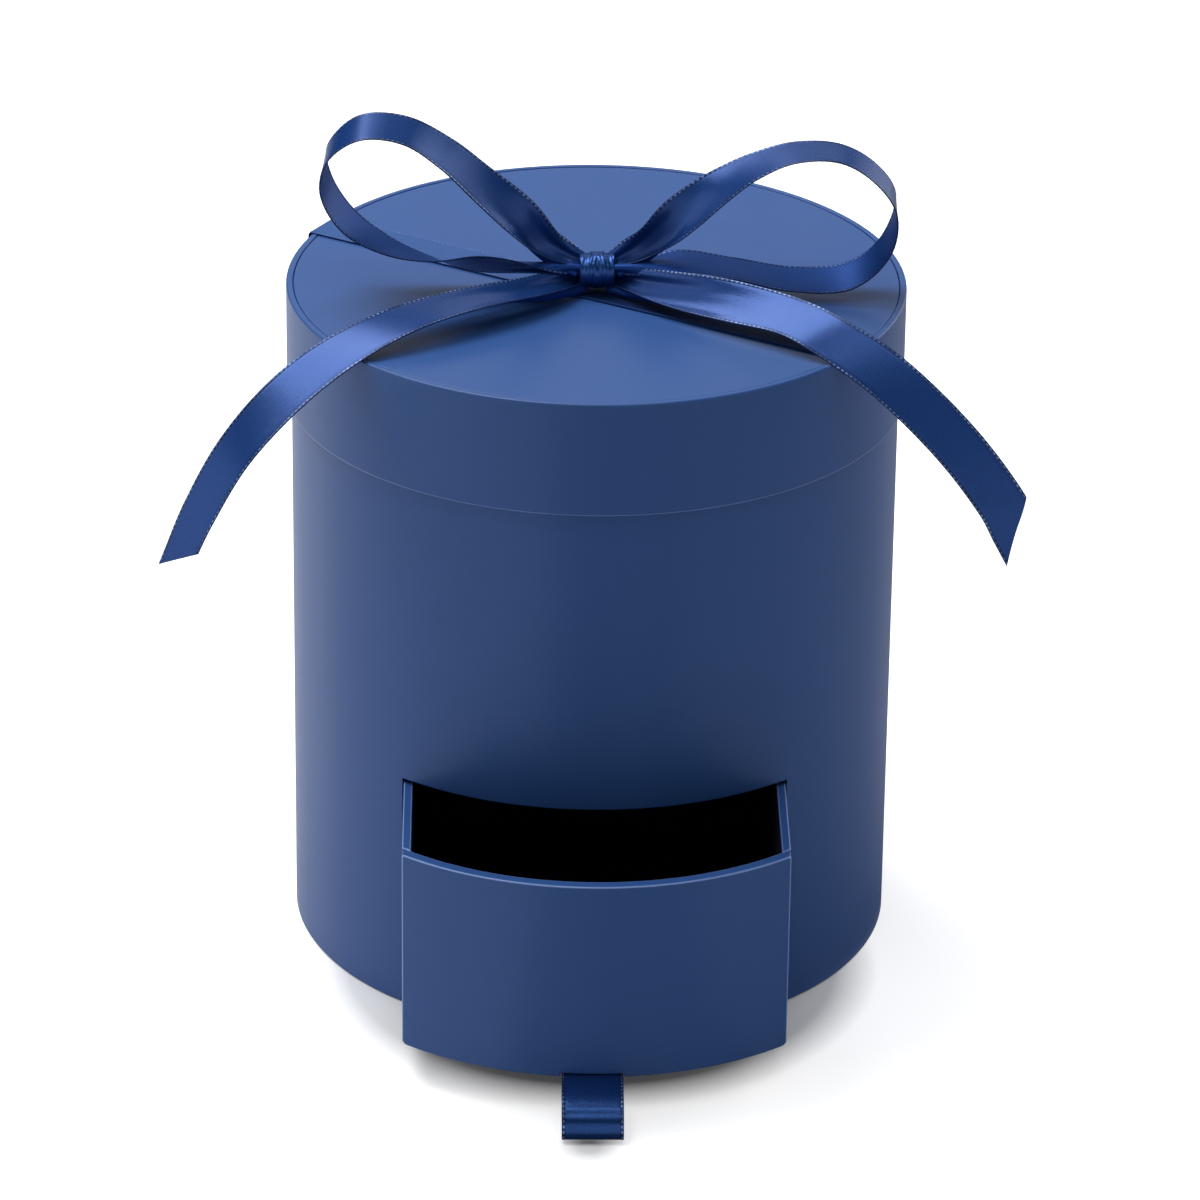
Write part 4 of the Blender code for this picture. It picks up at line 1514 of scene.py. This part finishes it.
@dataclass
class Pull:
    """The drawer's pull: a folded ribbon whose tail is pasted under the drawer's floor."""

    sizes: Frame
    finishes: Finishes
    width: float = 19.5 * MM
    tail: float = 25.0 * MM
    half_thick: float = 0.25 * MM
    tail_shares: Sequence[float] = (1.0, 0.7, 0.45, 0.27, 0.15, 0.06)
    # Side view of the loop: reach from the drawer's front and height, as shares of the loop's
    # reach and of the drawer's height over the ground
    loop_shares: Sequence[Point] = (
        (0.14, 1.04), (0.34, 1.0), (0.54, 0.92), (0.70, 0.81), (0.80, 0.69), (0.89, 0.565),
        (0.945, 0.40), (0.975, 0.24), (0.96, 0.13), (0.90, 0.075), (0.78, 0.07), (0.62, 0.16),
        (0.36, 0.44), (0.14, 0.80),
    )

    def build(self) -> None:
        """Build and dress the pull."""
        low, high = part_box("pull_ribbon")
        front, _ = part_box("drawer_front")
        path = [(front.y + share * self.tail, high.z - self.half_thick) for share in self.tail_shares]
        path += [(front.y - out * (front.y - low.y), up * front.z) for out, up in self.loop_shares]
        middle = (low.x + high.x) / 2
        stations = np.array([[middle, y, z, 1.0, 0.0, 0.0, 1.0, 0.0] for y, z in path])
        face, back = self.finishes.satin_glossy_painted_highlight, self.finishes.satin_back
        ribbon = Ribbon("pull_ribbon_satin", stations, self.width, face, back)
        item = ribbon.build()
        self.finishes.dress(item, Slot.SATIN, Body.DRAWER)
        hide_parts("pull_ribbon")


@dataclass(frozen=True)
class SoftBox:
    """A soft box of the studio: its name, where it hangs, its size and its power in watts."""

    name: str
    place: Point3
    size: Point
    power: float


@dataclass(frozen=True)
class FloorCard:
    """A card on the floor that only shows in reflections: the sector it covers and its colour."""

    name: str
    start: float
    end: float
    colour: str


@dataclass(frozen=True)
class Contact:
    """A contact shadow on the floor: its middle, where it is full and where it ends."""

    middle: Point3
    full: float
    end: float


@dataclass
class Studio:
    """The white sweep, its soft lights and the camera at the photograph's viewing angle."""

    elevation: float = math.radians(25.61)
    azimuth: float = math.radians(-1.11)
    roll: float = math.radians(0.73)
    distance: float = 2.146
    aim: Point3 = (0.00244, 0.0, 0.10893)
    lens: float = 195.15
    sensor: float = 36.0
    far_clip: float = 50.0
    floor_half: float = 4.0
    floor_drop: float = 0.2 * MM
    floor_colour: str = "#e7e7e8"
    # The sweep glows by this share near the object, and fully from the far end of this span
    floor_glow: float = 0.6
    glow_span: Point = (0.6, 1.8)
    # The glow dies away to this share under the drawer and the pull at rest
    contact_share: float = 0.05
    contacts: Sequence[Contact] = (
        Contact((0.0, -0.0494, 0.0), 0.08, 0.095),
        Contact((-0.002, -0.1695, 0.0), 0.003, 0.012),
    )
    light_aim: Point3 = (0.0, 0.0, 0.12)
    card_radii: Point = (0.1, 2.5)
    card_step: float = 6.0
    card_lift: float = 0.2 * MM
    # Dark in front, as in the photograph's gloss, and grey at the right
    floor_cards: Sequence[FloorCard] = (
        FloorCard("dark_card", -14.0, 25.0, "#222327"),
        FloorCard("grey_card", 25.0, 180.0, "#9c9da1"),
    )
    fill: float = 0.25
    # What gloss sees: directions in which each white part fades in, from none to full
    back_band: Sequence[tuple[str, float, float]] = (
        ("Y", 0.5, 0.7), ("Z", 0.2, 0.4), ("Z", 0.66, 0.52), ("aside", 0.42, 0.26),
    )
    front_room: Sequence[tuple[str, float, float]] = (("Y", 0.0, -0.2), ("Z", 0.6, 0.4))
    soft_boxes: Sequence[SoftBox] = (
        SoftBox("key_box", (-0.53, 0.47, 1.65), (1.06, 1.0), 26.5),
        SoftBox("front_strip", (-0.1, -0.45, 1.65), (1.2, 0.3), 4.2),
        SoftBox("left_box", (-1.6, 0.0, 0.7), (1.2, 1.2), 5.0),
        SoftBox("right_back_box", (1.2, 1.0, 0.7), (1.0, 1.2), 10.2),
    )

    def build(self) -> None:
        """Build the camera, the floor, its cards, the world and the lights."""
        self.make_camera()
        self.make_floor()
        for card in self.floor_cards:
            self.lay(card)
        self.make_world()
        for box in self.soft_boxes:
            self.hang(box)
        bpy.context.scene.view_settings.view_transform = "Standard"

    def make_camera(self) -> None:
        """Place the camera where the photograph was taken from."""
        flat, rise = math.cos(self.elevation), math.sin(self.elevation)
        back = Vector((math.sin(self.azimuth) * flat, -math.cos(self.azimuth) * flat, rise))
        level = (-back).cross(Vector((0.0, 0.0, 1.0))).normalized()
        above = level.cross(-back)
        right = math.cos(self.roll) * level + math.sin(self.roll) * above
        up = -math.sin(self.roll) * level + math.cos(self.roll) * above
        turn = Matrix((right, up, back)).transposed().to_4x4()
        data = bpy.data.cameras.new("camera")
        data.lens = self.lens
        data.sensor_width = self.sensor
        data.clip_end = self.far_clip
        camera = bpy.data.objects.new("camera", data)
        camera.matrix_world = Matrix.Translation(Vector(self.aim) + back * self.distance) @ turn
        bpy.context.scene.collection.objects.link(camera)
        bpy.context.scene.camera = camera

    def make_floor(self) -> None:
        """Lay the floor: plain white to the camera where it is lit, and it keeps the shadow."""
        half = self.floor_half
        corners = [(-half, -half, 0.0), (half, -half, 0.0), (half, half, 0.0), (-half, half, 0.0)]
        floor = mesh_object("studio_floor", corners, [(0, 1, 2, 3)])
        floor.location.z = -self.floor_drop
        material, add = new_material("white_sweep_card")
        rays = add("LightPath").outputs
        seen = add("Math", {0: rays["Is Camera Ray"], 1: rays["Is Transmission Ray"]}, operation="MAXIMUM")
        card = add("BsdfDiffuse", {"Color": linear(self.floor_colour)})
        place = add("TexCoord").outputs["Object"]
        away = add("VectorMath", {0: place}, operation="LENGTH")
        near, far = self.glow_span
        span = {"From Min": near, "From Max": far, "To Min": self.floor_glow}
        power = add("MapRange", {"Value": away, **span})
        for contact in self.contacts:
            away = add("VectorMath", {0: place, 1: contact.middle}, operation="DISTANCE")
            span = {"From Min": contact.full, "From Max": contact.end, "To Min": self.contact_share}
            share = add("MapRange", {"Value": away, **span})
            power = add("Math", {0: power, 1: share}, operation="MULTIPLY")
        glow = add("Emission", {"Color": WHITE, "Strength": power})
        both = add("AddShader", {0: card, 1: glow})
        add("OutputMaterial", {"Surface": add("MixShader", {0: seen, 1: card, 2: both})})
        floor.data.materials.append(material)

    def lay(self, card: FloorCard) -> None:
        """Lay a card on the floor, which only the object's gloss sees.

        Args:
            card: The card.
        """
        steps = max(1, round((card.end - card.start) / self.card_step))
        angles = np.radians(np.linspace(card.start, card.end, steps + 1))
        ways = [(math.sin(a), -math.cos(a)) for a in angles]
        points = [(r * x, r * y, self.card_lift) for r in self.card_radii for x, y in ways]
        faces = [(step, step + 1, steps + step + 2, steps + step + 1) for step in range(steps)]
        item = mesh_object(card.name, points, faces)
        material, add = new_material(card.name)
        add("OutputMaterial", {"Surface": add("BsdfDiffuse", {"Color": linear(card.colour)})})
        item.data.materials.append(material)
        item.visible_camera = False
        item.visible_diffuse = False
        item.visible_shadow = False

    def make_world(self) -> None:
        """Light the studio evenly and show white behind the object.

        Gloss sees a white band at the back and a white room low in front, between dark curtains.
        """
        world = bpy.data.worlds.new("white_studio")
        bpy.context.scene.world = world
        world.use_nodes = True
        world.node_tree.nodes.clear()
        add = partial(add_node, world.node_tree)
        towards = add("SeparateXYZ", {"Vector": add("TexCoord").outputs["Generated"]}).outputs
        aside = add("Math", {0: towards["X"]}, operation="ABSOLUTE")
        measures = {"Y": towards["Y"], "Z": towards["Z"], "aside": aside}
        parts = []
        for edges in (self.back_band, self.front_room):
            fades = [
                add("MapRange", {"Value": measures[name], "From Min": none, "From Max": full})
                for name, none, full in edges
            ]
            part = fades[0]
            for fade in fades[1:]:
                part = add("Math", {0: part, 1: fade}, operation="MULTIPLY")
            parts.append(part)
        gloss = add("Math", {0: parts[0], 1: parts[1]}, operation="ADD")
        rays = add("LightPath").outputs
        seen = add("Math", {0: rays["Is Camera Ray"], 1: rays["Is Transmission Ray"]}, operation="MAXIMUM")
        lit = add("Mix", {"Factor": seen, "A": self.fill, "B": 1.0}, data_type="FLOAT")
        glossy = rays["Is Glossy Ray"]
        strength = add("Mix", {"Factor": glossy, "A": lit, "B": gloss}, data_type="FLOAT")
        add("OutputWorld", {"Surface": add("Background", {"Color": WHITE, "Strength": strength})})

    def hang(self, box: SoftBox) -> None:
        """Hang a soft box, turned to the middle of the object.

        Args:
            box: The soft box.
        """
        data = bpy.data.lights.new(box.name, "AREA")
        data.shape = "RECTANGLE"
        data.size, data.size_y = box.size
        data.energy = box.power
        light = bpy.data.objects.new(box.name, data)
        light.location = box.place
        facing = Vector(self.light_aim) - Vector(box.place)
        light.rotation_euler = facing.to_track_quat("-Z", "Y").to_euler()
        light.visible_camera = False
        bpy.context.scene.collection.objects.link(light)


def main() -> None:
    """Build the studio and the box, in order."""
    logging.basicConfig(level=logging.INFO, format="%(message)s")
    Studio().build()
    sizes = Frame.read()
    finishes = Finishes()
    BodyShell(sizes, finishes).build()
    Drawer(sizes, finishes).build()
    Lid(sizes, finishes).build()
    Bow(sizes, finishes).build()
    Pull(sizes, finishes).build()


if __name__ == "__main__":
    main()
